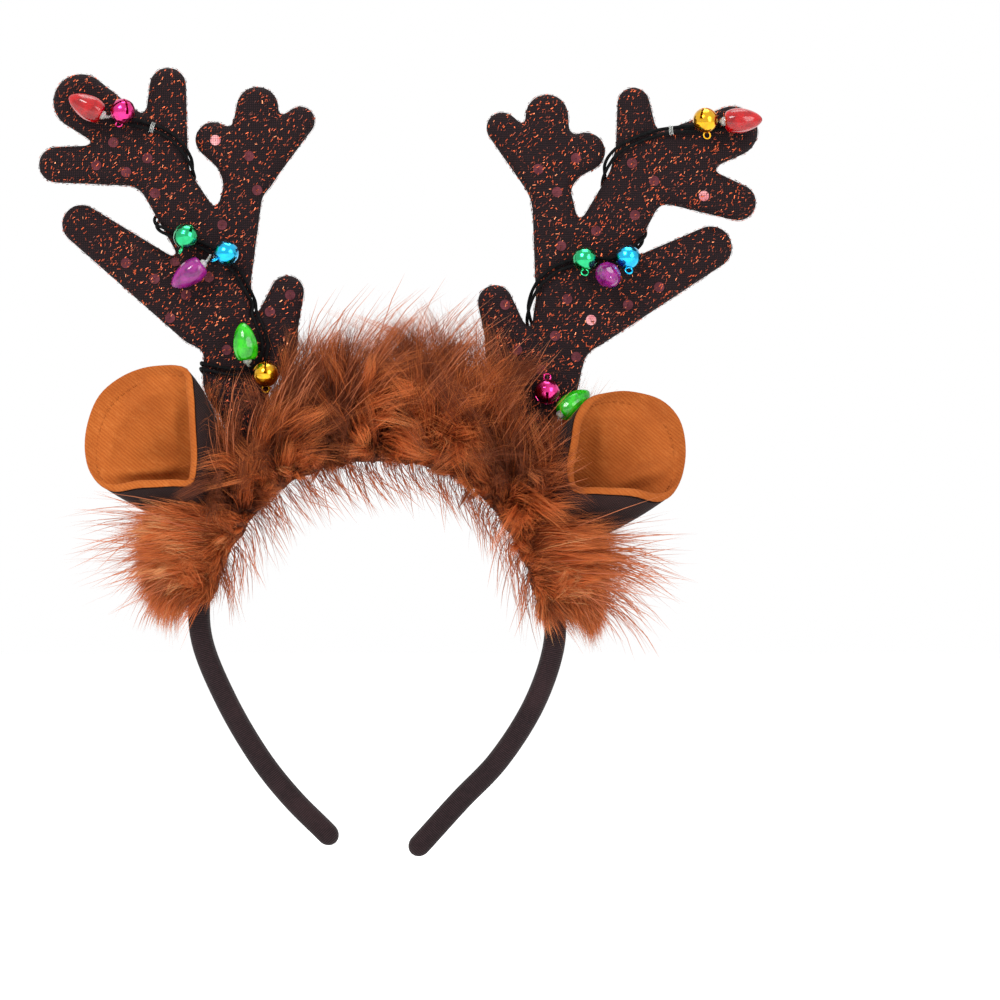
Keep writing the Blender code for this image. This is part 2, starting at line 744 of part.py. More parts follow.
def wire_line(side, strand):
    """One wire's middle line: the route laid on the antler and moved half the pair's spacing aside."""
    limbs = ANTLER_LIMBS[side]
    off = ANTLER_THICKNESS / 2 + WIRE_CLEAR + WIRE_RADIUS
    knots = [(x, lean_at(z) + behind * off, z) for x, z, behind in WIRE_ROUTES[side]]
    line = smooth_curve(knots, 8)

    def lifted(points):
        short = WIRE_CLEAR + WIRE_RADIUS - antler_distance(points, limbs)
        return points + antler_slope(points, limbs) * np.maximum(short, 0)[:, None]

    for _ in range(3):
        line = lifted(line)
    way = np.gradient(line, axis=0)
    aside = np.cross(way, antler_slope(line, limbs))
    aside = aside / np.linalg.norm(aside, axis=1, keepdims=True)
    for _ in range(6):
        padded = np.pad(aside, ((1, 1), (0, 0)), mode="edge")
        aside = (padded[:-2] + aside + padded[2:]) / 3
    line = line + aside * strand * WIRE_SPREAD
    for _ in range(3):
        line = lifted(line)
    steps = round(lengths_along(line)[-1] / WIRE_STEP)
    line = at_lengths(line, np.linspace(0, lengths_along(line)[-1], steps + 1))
    return lifted(lifted(line))


def swept_tube(line, radii, sides):
    """A closed tube along a line of points, with a radius at each."""
    way = np.gradient(line, axis=0)
    way = way / np.linalg.norm(way, axis=1, keepdims=True)
    across = np.cross(way[0], (0.31, 0.84, 0.45))
    turns = 2 * math.pi * np.arange(sides)[:, None] / sides
    rings = []
    for point, ahead, radius in zip(line, way, radii):
        across = across - ahead * (across @ ahead)
        across = across / np.linalg.norm(across)
        round_it = np.cos(turns) * across + np.sin(turns) * np.cross(ahead, across)
        rings.append(point + radius * round_it)
    bm = bmesh.new()
    made = skin_rings(bm, rings)
    bm.faces.new(made[0])
    bm.faces.new(made[-1])
    return bm


def wire_tube(line, radius, sides):
    return swept_tube(line, [radius] * len(line), sides)


def make_wires():
    for side in WIRE_ROUTES:
        for strand, letter in ((-1, "a"), (1, "b")):
            tube = wire_tube(wire_line(side, strand), WIRE_RADIUS, WIRE_SIDES)
            new_object(f"wire_{side}_{letter}", tube, "wire")


def lead_seat(side, base):
    """Where a bulb's lead meets the nearest wire, a small gap short of it."""
    line = np.vstack([at_lengths(w, np.arange(0, lengths_along(w)[-1], 0.4)) for w in both_wires(side)])
    nearest = line[np.argmin(np.linalg.norm(line - base, axis=1))]
    apart = base - nearest
    return nearest + apart / np.linalg.norm(apart) * (WIRE_RADIUS + GAP)


def both_wires(side):
    return [wire_line(side, strand) for strand in (-1, 1)]


def make_led(side, colour, base, way, on_wires):
    """The lamp inside a bulb, on the clear lead that comes off the wires."""
    base, way = np.array(base), np.array(way) / np.linalg.norm(way)
    rows = ((-1.3, 0.6), (-0.8, 1.0), (3.2, 1.0), (4.3, 0.7), (4.7, 0.2))
    line = [base + way * along for along, _ in rows]
    radii = [share * LED_RADIUS for _, share in rows]
    if on_wires:
        seat, corner, foot = lead_seat(side, base), base - way * 2.1, base - way * 1.5
        bend = [seat * (1 - t) ** 2 + corner * 2 * t * (1 - t) + foot * t**2 for t in (0, 0.35, 0.7, 1)]
        line = bend + line
        radii = [LEAD_RADIUS] * len(bend) + radii
    new_object(f"led_{side}_{colour}", swept_tube(np.array(line), radii, 6), "led", smooth=40)


# Fur trim


def fur_section(share, number):
    """One ring of the fur: locks over the outside, and the channel that the band lies in."""
    start, end = band_length_at(FUR_FROM), band_length_at(FUR_TO)
    point, way, out = band_frame(start + (end - start) * share)
    from_end = min(share, 1 - share)
    full = math.sqrt(max(0.0, 1 - max(0.0, 1 - from_end / 0.09) ** 2))
    low_end = 1 - 0.22 * math.exp(-((from_end / 0.12) ** 2))
    seat, side_seat = BAND_THICKNESS / 2 + GAP, BAND_WIDTH_TOP / 2 + GAP
    ring = []
    for k in range(FUR_ROUND):
        turn = math.radians(-128 + 256 * k / (FUR_ROUND - 1))
        c, s = math.cos(turn), math.sin(turn)
        reach = FUR_SIDE_REACH + (FUR_REACH - FUR_SIDE_REACH) * max(0.0, c) ** 2
        if c < 0:
            reach = 10.5 + (FUR_SIDE_REACH - 10.5) * (1 + c / 0.62) ** 1.5
        reach = 9.5 + (reach * low_end - 9.5) * full
        inner = k in (0, FUR_ROUND - 1)
        is_tip = number % 2 == 1 and k % 2 == (1 if number % 4 == 1 else 0) and not inner
        lock = FUR_LOCK * full if is_tip else 0.0
        n, y = 1.5 + (reach + lock) * c, (reach + lock) * s
        flow = (0.7 * lock + 3.0 * full * (1 - abs(s))) * (share - 0.5) * 2
        n = max(n, -BAND_THICKNESS / 2 + 0.4)
        at = point + out * n + way * flow
        ring.append((at[0], y, at[1]))
    n_in = -BAND_THICKNESS / 2 + 0.4
    for y, n in ((side_seat, n_in), (side_seat, seat), (-side_seat, seat), (-side_seat, n_in)):
        at = point + out * n
        ring.append((at[0], y, at[1]))
    return ring


def make_fur(cutters):
    bm = bmesh.new()
    rings = skin_rings(bm, [fur_section(i / (FUR_STATIONS - 1), i) for i in range(FUR_STATIONS)])
    bm.faces.new(rings[0])
    bm.faces.new(rings[-1])
    fur = new_object("fur_trim", bm, "fur")
    for cutter in cutters:
        cut = fur.modifiers.new(cutter.name, "BOOLEAN")
        cut.operation = "DIFFERENCE"
        cut.solver = "MANIFOLD"
        cut.object = cutter
    keep_largest_body(fur)
    for cutter in cutters:
        bpy.data.objects.remove(cutter)


def room_cutter(name, centre, radius):
    """A round room for a bell or bulb, open to the front."""
    rows = ((0.0, -1.0), (0.6, -0.8), (0.95, -0.3), (1.0, 0.2), (1.0, 9.0), (0.0, 9.0))
    bm = bmesh.new()
    angles = [2 * math.pi * k / 10 for k in range(10)]
    rings = skin_rings(bm, [[(r * math.cos(a), r * math.sin(a), h) for a in angles] for r, h in rows[1:-1]])
    bm.faces.new(rings[0])
    bm.faces.new(rings[-1])
    for v in bm.verts:
        x, y, h = v.co
        v.co = (centre[0] + x * radius, centre[1] - h * radius, centre[2] + y * radius)
    return as_cutter(new_object(name, bm, None))


def fur_cutters(outlines):
    cutters = []
    for side, traced in outlines.items():
        cutters.append(as_cutter(new_object(f"cutter_antler_{side}", antler_mesh(traced, 0.5), None)))
        cutters.append(ear_cutter(side))
        line = wire_line(side, 0)
        line = np.vstack([2 * line[0] - line[1], line[: len(line) // 3]])
        cutters.append(as_cutter(new_object(f"cutter_wire_{side}", wire_tube(line, 2.6, 5), None)))
    for side, colour, x, z, on_wires, _ in BELLS:
        if z < 40:
            name = f"cutter_bell_{side}_{colour}"
            cutters.append(room_cutter(name, bell_centre(x, z, on_wires), BELL_RADIUS + 3.2))
    for side, colour, x, z, off, way in BULBS:
        if z < 40:
            middle = Vector(bulb_base(x, z, off)) + Vector(way).normalized() * BULB_LENGTH * 0.42
            cutters.append(room_cutter(f"cutter_bulb_{side}_{colour}", middle, BULB_LENGTH * 0.56))
    return cutters


def main():
    for obj in list(bpy.data.objects):
        bpy.data.objects.remove(obj)
    make_band()
    outlines = {side: trace_outline(limbs) for side, limbs in ANTLER_LIMBS.items()}
    for side, traced in outlines.items():
        new_object(f"antler_{side}", antler_mesh(traced), "glitter_cloth", smooth=35)
        make_ear(side)
    make_wires()
    make_bells()
    make_bulbs()
    make_fur(fur_cutters(outlines))


main()
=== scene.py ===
"""Looks for the reindeer antler headband: materials, fur, glitter, bells, bulbs, floor, light and camera.

Metres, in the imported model's frame. Tables and sizes are in millimetres, and MM turns them into metres where
a mesh is made.
"""

import math

import bmesh
import bpy
import numpy as np
from mathutils import Matrix, Vector
from mathutils.bvhtree import BVHTree


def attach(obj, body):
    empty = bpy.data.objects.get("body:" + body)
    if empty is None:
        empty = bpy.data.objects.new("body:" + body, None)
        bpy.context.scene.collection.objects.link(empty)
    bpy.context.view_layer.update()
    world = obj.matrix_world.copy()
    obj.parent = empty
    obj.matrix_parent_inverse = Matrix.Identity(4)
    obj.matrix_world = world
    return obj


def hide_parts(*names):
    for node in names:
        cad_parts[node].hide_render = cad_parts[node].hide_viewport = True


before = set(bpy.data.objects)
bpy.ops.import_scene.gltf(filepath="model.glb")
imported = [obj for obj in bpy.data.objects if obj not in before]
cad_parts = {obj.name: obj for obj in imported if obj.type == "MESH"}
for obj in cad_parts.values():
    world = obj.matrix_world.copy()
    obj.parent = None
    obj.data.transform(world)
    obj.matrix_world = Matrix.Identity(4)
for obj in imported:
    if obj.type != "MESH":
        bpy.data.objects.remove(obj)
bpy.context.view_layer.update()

MM = 0.001
SEEDS = {"fur": 11, "twist": 5, "wool": 3, "glitter": 20}

# Hair band
BAND_THICKNESS = 7.2
BAND_WIDTH_TOP = 12.0
BAND_WIDTH_TIP = 9.5
BAND_PATH = (
    (-14.2, -126.6),
    (-17.6, -123.0),
    (-28.3, -112.3),
    (-38.5, -99.6),
    (-50.1, -79.9),
    (-58.0, -60.3),
    (-58.8, -47.2),
    (-56.2, -34.7),
    (-48.8, -22.0),
    (-39.5, -10.0),
    (-27.5, -2.3),
    (-14.1, 2.0),
    (0.3, 3.4),
    (15.6, 1.6),
    (28.5, -3.4),
    (37.6, -10.0),
    (45.0, -19.5),
    (51.8, -32.0),
    (56.7, -48.1),
    (57.5, -60.3),
    (51.4, -79.9),
    (39.1, -99.6),
    (26.4, -112.9),
    (14.0, -126.6),
    (10.6, -130.2),
)
FUR_FROM = (-58.8, -46.0)
FUR_TO = (57.0, -50.0)

# Ears
EAR_BACK_WALL = 1.1
EAR_FRONT_WALL = 1.6
EAR_LAYER_GAP = 0.35
EAR_AROUND = 72
EAR_BASE_DEPTH = 5.2
GAP = 0.3
# Once round each mouth: x, y, z, and how far the wall bulges out halfway to the band
EAR_MOUTHS = {
    "left": (
        (-62.9, -10.5, 28.8, 5.5),
        (-60.9, -14.5, 21.0, 4.0),
        (-59.9, -18.0, 8.5, 3.0),
        (-59.3, -19.5, -2.9, 2.0),
        (-60.9, -19.5, -9.0, 1.2),
        (-68.4, -19.5, -9.4, 0.8),
        (-78.3, -17.5, -9.9, 0.8),
        (-87.4, -12.0, -11.1, 1.2),
        (-93.3, -7.0, -7.2, 2.5),
        (-96.0, -4.0, 0.3, 2.0),
        (-95.3, -2.0, 10.2, 2.0),
        (-91.4, -2.0, 19.7, 2.0),
        (-83.2, -3.5, 26.2, 2.5),
        (-72.4, -6.5, 29.5, 4.0),
    ),
    "right": (
        (69.1, -11.5, 19.3, 3.0),
        (65.2, -15.0, 14.4, 2.5),
        (63.2, -18.5, 5.2, 2.0),
        (61.9, -20.5, -4.6, 2.0),
        (63.8, -20.5, -11.1, 1.2),
        (72.4, -20.5, -11.7, 0.8),
        (83.8, -18.5, -12.4, 0.8),
        (93.3, -13.0, -14.1, 1.4),
        (98.3, -8.0, -9.2, 2.5),
        (100.2, -4.5, 2.0, 3.0),
        (98.3, -2.5, 11.8, 2.5),
        (92.0, -2.5, 18.3, 2.0),
        (82.9, -4.0, 21.0, 2.0),
        (74.7, -7.5, 20.8, 2.5),
    ),
}
# Creases that stand up in each ear's lining: x, z at both ends, their width and their height
EAR_CREASES = {
    "left": (
        (-90.0, -6.0, -63.0, -4.0, 2.0, 3.4),
        (-67.5, 24.0, -66.0, -2.0, 2.2, 1.8),
    ),
    "right": (
        (72.0, -11.5, 97.5, -1.5, 3.4, 5.0),
        (74.5, 17.0, 72.5, -3.0, 2.6, 2.2),
    ),
}
EAR_BASES = {
    "left": ((-45.6, -17.4), (-53.0, -27.4)),
    "right": ((45.0, -19.5), (52.9, -34.4)),
}

# Antlers
ANTLER_THICKNESS = 7.0
ANTLER_LEAN = 6.0
ANTLER_HEIGHT = 125.0
ANTLER_EDGE = 3.3
ANTLER_FILLET = 4.0
ANTLER_SPARE = 0.65
FLECKS_PER_FACE = 3700

# Bells, bulbs and wires
BELL_RADIUS = 4.15
BELL_SLIT = 0.38
BULB_RADIUS = 4.1
BULB_LENGTH = 12.2
BULB_WALL = 0.7
WIRE_RADIUS = 0.55
WIRE_CLEAR = 0.6

# Bells: side, colour, x, z, sits on the wires, and the way that the hanging loop points
BELLS = (
    ("left", "pink", -83.8, 112.7, True, (-0.25, 0.55, -0.80)),
    ("left", "green", -63.0, 71.7, True, (-0.34, -0.10, -0.94)),
    ("left", "blue", -49.8, 66.2, True, (-0.75, -0.50, -0.45)),
    ("left", "gold", -36.9, 26.6, True, (0.00, 0.30, -0.95)),
    ("right", "gold", 106.8, 109.7, True, (0.10, 0.25, -0.96)),
    ("right", "green", 67.3, 64.2, True, (0.00, -0.50, -0.87)),
    ("right", "blue", 81.4, 64.8, True, (0.05, -0.50, -0.87)),
    ("right", "pink", 55.0, 21.0, False, (0.00, 0.30, 0.95)),
)
# Bulbs: side, colour, base x, base z, how far the base stands off the cloth, and the way that the tip points
BULBS = (
    ("left", "red", -90.6, 111.6, 6.2, (-9.9, 0.0, 5.4)),
    ("left", "purple", -57.6, 62.6, 6.2, (-9.9, 0.0, -7.2)),
    ("left", "green", -42.9, 31.4, 6.2, (-1.6, -0.6, 12.0)),
    ("right", "red", 113.2, 109.4, 6.2, (12.0, 0.0, 0.6)),
    ("right", "purple", 73.9, 60.2, 5.6, (2.6, -10.8, -3.2)),
    ("right", "green", 59.5, 13.6, 4.4, (8.6, 2.6, 7.0)),
)
# Where each pair of wires leaves the fur: x, z
WIRE_STARTS = {
    "left": (-38.0, -0.5),
    "right": (39.8, -1.0),
}
METAL_TONES = {
    "pink": (226, 36, 130),
    "green": (20, 186, 116),
    "blue": (0, 186, 236),
    "gold": (232, 172, 0),
}
# Plain sequins, and bright ones whose lighter tones are a painted highlight where a sequin catches the light
SEQUIN_TONES = {
    "plain": ((78, 32, 38), (104, 48, 54)),
    "bright": ((196, 116, 122), (226, 160, 160)),
}
BULB_TONES = {
    "red": ((206, 0, 12), (150, 0, 8)),
    "purple": ((176, 40, 152), (120, 18, 108)),
    "green": ((56, 224, 26), (20, 164, 16)),
}

# Floor
FLOOR_Z = -145.0

# Fur
FUR_PIECES = 6
# Kinds of hair: how many, half the width of one, and between which angles round the band they grow
HAIRS = {
    "coat": (80000, 0.085, -125, 125),
    "tuft": (17000, 0.08, 0, 0),
    "guard": (1700, 0.15, -62, 62),
    "tuft_guard": (620, 0.15, 0, 0),
    "inner": (700, 0.125, 112, 150),
}
# How far along a hair its points are, and how wide hair and guard hair are at each but the last
HAIR_STEPS = (0.0, 0.28, 0.55, 0.8, 1.0)
HAIR_SHAPE = (1.0, 0.95, 0.80, 0.55)
GUARD_SHAPE = (0.9, 1.0, 0.95, 0.75)
# Distances in front of and behind the band from which hair bends back, and which no hair passes
FUR_DEPTH = (27.0, 35.5)
# Locks that the hair follows: how many grow all along and in the tufts, and how much they stray
COAT_LOCKS = 1500
TUFT_LOCKS = 260
LOCK_STRAY = 2.1
# The middles that the tufts' hairs fan out from, on the left and the right
TUFT_MIDDLES = ((-60.0, 0.0, -28.0), (60.0, 0.0, -32.0))
# By share along the fur: how far the coat stands out over the top, how much of that is left at the ends,
# the lean along the band in radians, that lean for the hairs inside the arch, and the guard hair's length
COAT_TOP = ((0, 0.25, 0.5, 0.68, 0.77, 0.85), (15, 21, 24, 31, 30, 17))
COAT_ENDS = ((0, 0.10, 0.20, 0.80, 0.90, 1), (0.50, 0.74, 1, 1, 0.68, 0.48))
COAT_LEAN = (
    (0.0, 0.06, 0.12, 0.18, 0.25, 0.33, 0.42, 0.5, 0.58, 0.67, 0.74, 0.81, 0.88, 0.94, 1.0),
    (-0.7, -0.5, -0.25, 0.05, 0.30, 0.28, 0.18, 0.1, 0.0, -0.2, -0.3, -0.1, 0.22, 0.45, 0.65),
)
INNER_LEAN = ((0, 0.15, 0.3, 0.5, 0.75, 1), (-0.85, -0.6, 0.1, 0.42, 0.75, 1.0))
GUARD_LENGTHS = ((0.2, 0.32, 0.36, 0.56, 0.62, 0.82, 0.88), (0.3, 0.3, 1, 1, 0.2, 0.2, 1))
# The angle over the horizontal, in degrees, at which the left and the right tuft begin
TUFT_TOPS = (42.0, 36.0)
# By that angle in a tuft: how far its hair and its guard hair reach
TUFT_REACH = ((-84, -60, -35, -10, 15, 42), (9, 13, 18, 20, 21, 21))
TUFT_GUARD_REACH = ((-80, -60, -45, -30, -15, 0, 22), (17, 23, 30, 37, 43, 45, 36))
# Bells that the fur leaves free: x, z, and how far from their middle the hair stays
FUR_CLEARINGS = (
    (55.0, 21.0, 4.8),
    (-36.9, 26.6, 4.4),
)
# Places where the fur parts, its dark roots show and the hair is painted darker as painted shade: x, z, and
# how far the parting spreads
PARTINGS = (
    (20.0, 25.5, 11.0),
    (31.4, 11.8, 9.0),
    (46.2, -4.6, 8.0),
    (61.0, -23.3, 8.0),
    (-42.2, 3.6, 8.0),
    (-53.7, -10.2, 8.0),
    (-19.3, 7.2, 7.0),
    (-12.0, 22.0, 6.0),
    (4.0, 12.0, 6.0),
)

# Each antler's limbs, from the root outwards: x, z, half-width, then the same at the limb's tip
ANTLER_LIMBS = {
    "left": {
        "root": (-35.7, -2.9, 7.0, -47.2, 23.3, 8.2),
        "trunk": (-47.2, 23.3, 8.2, -51.4, 51.1, 8.0),
        "lower_tine": (-57.5, 46.5, 10.3, -97.6, 76.0, 5.9),
        "inner_tine": (-36.2, 35.5, 8.0, -30.1, 53.7, 5.0),
        "inner_foot": (-47.2, 26.5, 9.0, -36.2, 35.5, 8.0),
        "inner_beam": (-51.4, 51.1, 8.0, -44.6, 88.0, 6.0),
        "inner_top": (-43.5, 96.0, 6.3, -40.0, 114.3, 6.4),
        "inner_left": (-44.0, 95.5, 6.2, -54.4, 103.8, 5.4),
        "inner_right": (-41.5, 95.0, 8.0, -25.9, 110.0, 4.3),
        "outer_beam": (-54.0, 64.0, 9.0, -73.5, 95.5, 7.6),
        "outer_top": (-70.6, 98.0, 7.2, -69.4, 121.5, 5.5),
        "outer_middle": (-76.0, 101.0, 7.0, -97.9, 116.3, 8.6),
        "outer_left": (-79.0, 95.5, 6.4, -105.8, 95.6, 5.4),
    },
    "right": {
        "root": (38.0, -3.9, 6.5, 54.4, 21.6, 8.0),
        "trunk": (54.4, 21.6, 8.0, 60.5, 42.0, 9.8),
        "lower_tine": (68.0, 46.5, 10.6, 108.7, 68.4, 6.5),
        "inner_tine": (43.5, 34.0, 7.2, 38.0, 50.4, 5.2),
        "inner_foot": (55.0, 26.0, 9.0, 43.5, 34.0, 7.2),
        "inner_beam": (61.2, 50.0, 9.3, 57.0, 82.2, 6.3),
        "inner_top": (56.0, 95.3, 6.3, 55.0, 111.7, 6.5),
        "inner_left": (55.0, 91.0, 7.2, 40.3, 107.7, 4.7),
        "inner_right": (57.0, 95.5, 7.0, 67.8, 99.9, 5.8),
        "outer_beam": (68.5, 60.5, 10.0, 86.0, 92.0, 9.0),
        "outer_top": (85.3, 97.0, 7.4, 83.4, 115.7, 4.8),
        "outer_middle": (93.0, 97.0, 8.4, 115.9, 106.6, 7.8),
        "outer_right": (94.0, 91.5, 8.0, 117.6, 83.2, 5.5),
    },
}

# A sequin from its hole to its edge: radius, and height over the cloth
SEQUIN_ROWS = ((0.16, 0.17), (0.6, 0.15), (1.2, 0.17), (1.66, 0.20), (1.72, 0.14), (1.70, 0.02))
SEQUIN_SIDES = 18
# Sequins on the antlers' fronts: x, z, and whether it is painted bright, a painted highlight where it faces
# the light
SEQUINS = {
    "left": (
        (-53.7, 103.5, 1),
        (-42.6, 98.3, 0),
        (-40.0, 87.1, 0),
        (-87.1, 102.8, 0),
        (-76.0, 97.6, 0),
        (-92.7, 95.3, 0),
        (-82.9, 93.0, 0),
        (-73.4, 86.1, 0),
        (-51.4, 75.7, 0),
        (-82.9, 63.2, 0),
        (-73.4, 58.0, 0),
        (-55.7, 58.6, 0),
        (-66.8, 63.5, 0),
        (-63.2, 52.7, 0),
        (-68.4, 45.2, 0),
        (-49.8, 34.7, 0),
        (-29.1, 52.7, 0),
        (-35.7, 47.2, 0),
    ),
    "right": (
        (52.1, 94.0, 0),
        (64.5, 97.6, 0),
        (58.3, 86.5, 0),
        (59.6, 68.8, 0),
        (71.1, 73.7, 0),
        (83.8, 78.9, 0),
        (90.1, 90.1, 0),
        (106.4, 85.2, 1),
        (82.9, 96.0, 0),
        (61.6, 51.4, 0),
        (69.4, 44.5, 1),
        (81.5, 49.5, 0),
        (91.7, 55.3, 0),
        (57.6, 39.3, 0),
        (64.5, 32.4, 0),
        (53.1, 28.2, 0),
        (45.2, 34.7, 0),
        (41.3, 49.5, 0),
    ),
}


def linear(r, g, b):
    """A colour of the screen, 0 to 255, as the linear colour that shaders take."""
    parts = [c / 255 for c in (r, g, b)]
    return tuple(c / 12.92 if c <= 0.04045 else ((c + 0.055) / 1.055) ** 2.4 for c in parts)


# Curves


def smooth_curve(knots, per_span, closed=False):
    """Points on a smooth curve through the knots, with centripetal Catmull-Rom spans."""
    knots = np.array(knots, float)
    count = len(knots)
    if closed:
        ring = np.vstack([knots[-1], knots, knots[0], knots[1]])
    else:
        ring = np.vstack([2 * knots[0] - knots[1], knots, 2 * knots[-1] - knots[-2]])
    points = []
    for i in range(count if closed else count - 1):
        p = ring[i : i + 4]
        t = np.concatenate([[0], np.cumsum(np.linalg.norm(np.diff(p, axis=0), axis=1) ** 0.5)])
        for u in np.linspace(t[1], t[2], per_span, endpoint=False):
            a = [((t[k + 1] - u) * p[k] + (u - t[k]) * p[k + 1]) / (t[k + 1] - t[k]) for k in range(3)]
            b = [((t[k + 2] - u) * a[k] + (u - t[k]) * a[k + 1]) / (t[k + 2] - t[k]) for k in range(2)]
            points.append(((t[2] - u) * b[0] + (u - t[1]) * b[1]) / (t[2] - t[1]))
    if not closed:
        points.append(knots[-1])
    return np.array(points)


def lengths_along(points):
    return np.concatenate([[0], np.cumsum(np.linalg.norm(np.diff(points, axis=0), axis=1))])


def at_lengths(points, lengths):
    along = lengths_along(points)
    return np.stack([np.interp(lengths, along, points[:, k]) for k in range(points.shape[1])], axis=1)


def unit(vectors):
    return vectors / np.maximum(np.linalg.norm(vectors, axis=-1, keepdims=True), 1e-9)


BAND_LINE = smooth_curve(BAND_PATH, 12)
BAND_ALONG = lengths_along(BAND_LINE)
BAND_TANGENTS = np.gradient(BAND_LINE, BAND_ALONG, axis=0)


def height_over_band(places):
    """How far each place x, z is outside the band's middle line, negative inside the arch."""
    places = np.atleast_2d(places)
    apart = places[:, None, :] - BAND_LINE[None, :, :]
    nearest = np.argmin((apart**2).sum(2), axis=1)
    row = np.arange(len(places))
    out = np.stack([-BAND_TANGENTS[nearest, 1], BAND_TANGENTS[nearest, 0]], axis=1)
    out = out / np.linalg.norm(out, axis=1, keepdims=True)
    return (apart[row, nearest] * out).sum(1)


def band_frames(lengths):
    """At each length along the band: its point, its direction and the way out of the arch, as x, y, z."""
    points = np.stack([np.interp(lengths, BAND_ALONG, BAND_LINE[:, k]) for k in range(2)], axis=-1)
    ways = unit(np.stack([np.interp(lengths, BAND_ALONG, BAND_TANGENTS[:, k]) for k in range(2)], axis=-1))
    flat = np.zeros(points.shape[:-1])
    point = np.stack([points[..., 0], flat, points[..., 1]], axis=-1)
    way = np.stack([ways[..., 0], flat, ways[..., 1]], axis=-1)
    out = np.stack([-ways[..., 1], flat, ways[..., 0]], axis=-1)
    return point, way, out


def band_length_at(place):
    return BAND_ALONG[np.argmin(np.linalg.norm(BAND_LINE - np.array(place), axis=1))]


# Meshes


def add_object(name, data):
    obj = bpy.data.objects.new(name, data)
    bpy.context.scene.collection.objects.link(obj)
    return obj


def link_mesh(name, mesh, material, smooth=60):
    if smooth:
        mesh.shade_smooth()
        mesh.set_sharp_from_angle(angle=math.radians(smooth))
    obj = add_object(name, mesh)
    if material:
        mesh.materials.append(material)
    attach(obj, "root")
    return obj


def finish_bmesh(name, bm):
    """The mesh in metres of a bmesh in millimetres."""
    bmesh.ops.scale(bm, vec=(MM, MM, MM), verts=bm.verts)
    mesh = bpy.data.meshes.new(name)
    bm.to_mesh(mesh)
    bm.free()
    return mesh


def from_bmesh(name, bm, material, smooth=60):
    bmesh.ops.recalc_face_normals(bm, faces=bm.faces)
    return link_mesh(name, finish_bmesh(name, bm), material, smooth)


def add_walls(bm, rings, closed=False):
    """Faces between each ring of vertices and the next, and from the last to the first if it is closed."""
    after = rings[1:] + (rings[:1] if closed else [])
    for low, high in zip(rings, after):
        count = len(low)
        for k in range(count):
            bm.faces.new((low[k], low[(k + 1) % count], high[(k + 1) % count], high[k]))


def from_arrays(name, points, faces, material, smooth=60, uv=None):
    """A mesh from an array of points in millimetres and an array of faces that all have as many corners."""
    mesh = bpy.data.meshes.new(name)
    count, corners = faces.shape
    mesh.vertices.add(len(points))
    mesh.vertices.foreach_set("co", (np.asarray(points) * MM).astype(np.float32).ravel())
    mesh.loops.add(count * corners)
    mesh.loops.foreach_set("vertex_index", faces.astype(np.int32).ravel())
    mesh.polygons.add(count)
    mesh.polygons.foreach_set("loop_start", np.arange(0, count * corners, corners, dtype=np.int32))
    if uv is not None:
        layer = mesh.uv_layers.new(name="along")
        layer.data.foreach_set("uv", np.asarray(uv)[faces.ravel()].astype(np.float32).ravel())
    mesh.update(calc_edges=True)
    mesh.validate()
    return link_mesh(name, mesh, material, smooth)


def skin_rings(rings):
    """Points and quads between each ring of points and the next."""
    rings = np.asarray(rings)
    rows, count = rings.shape[:2]
    i = np.arange(rows - 1)[:, None] * count
    j = np.arange(count)[None]
    k = (j + 1) % count
    quads = np.stack([i + j, i + k, i + count + k, i + count + j], axis=-1).reshape(-1, 4)
    return rings.reshape(-1, 3), quads


# Shader building


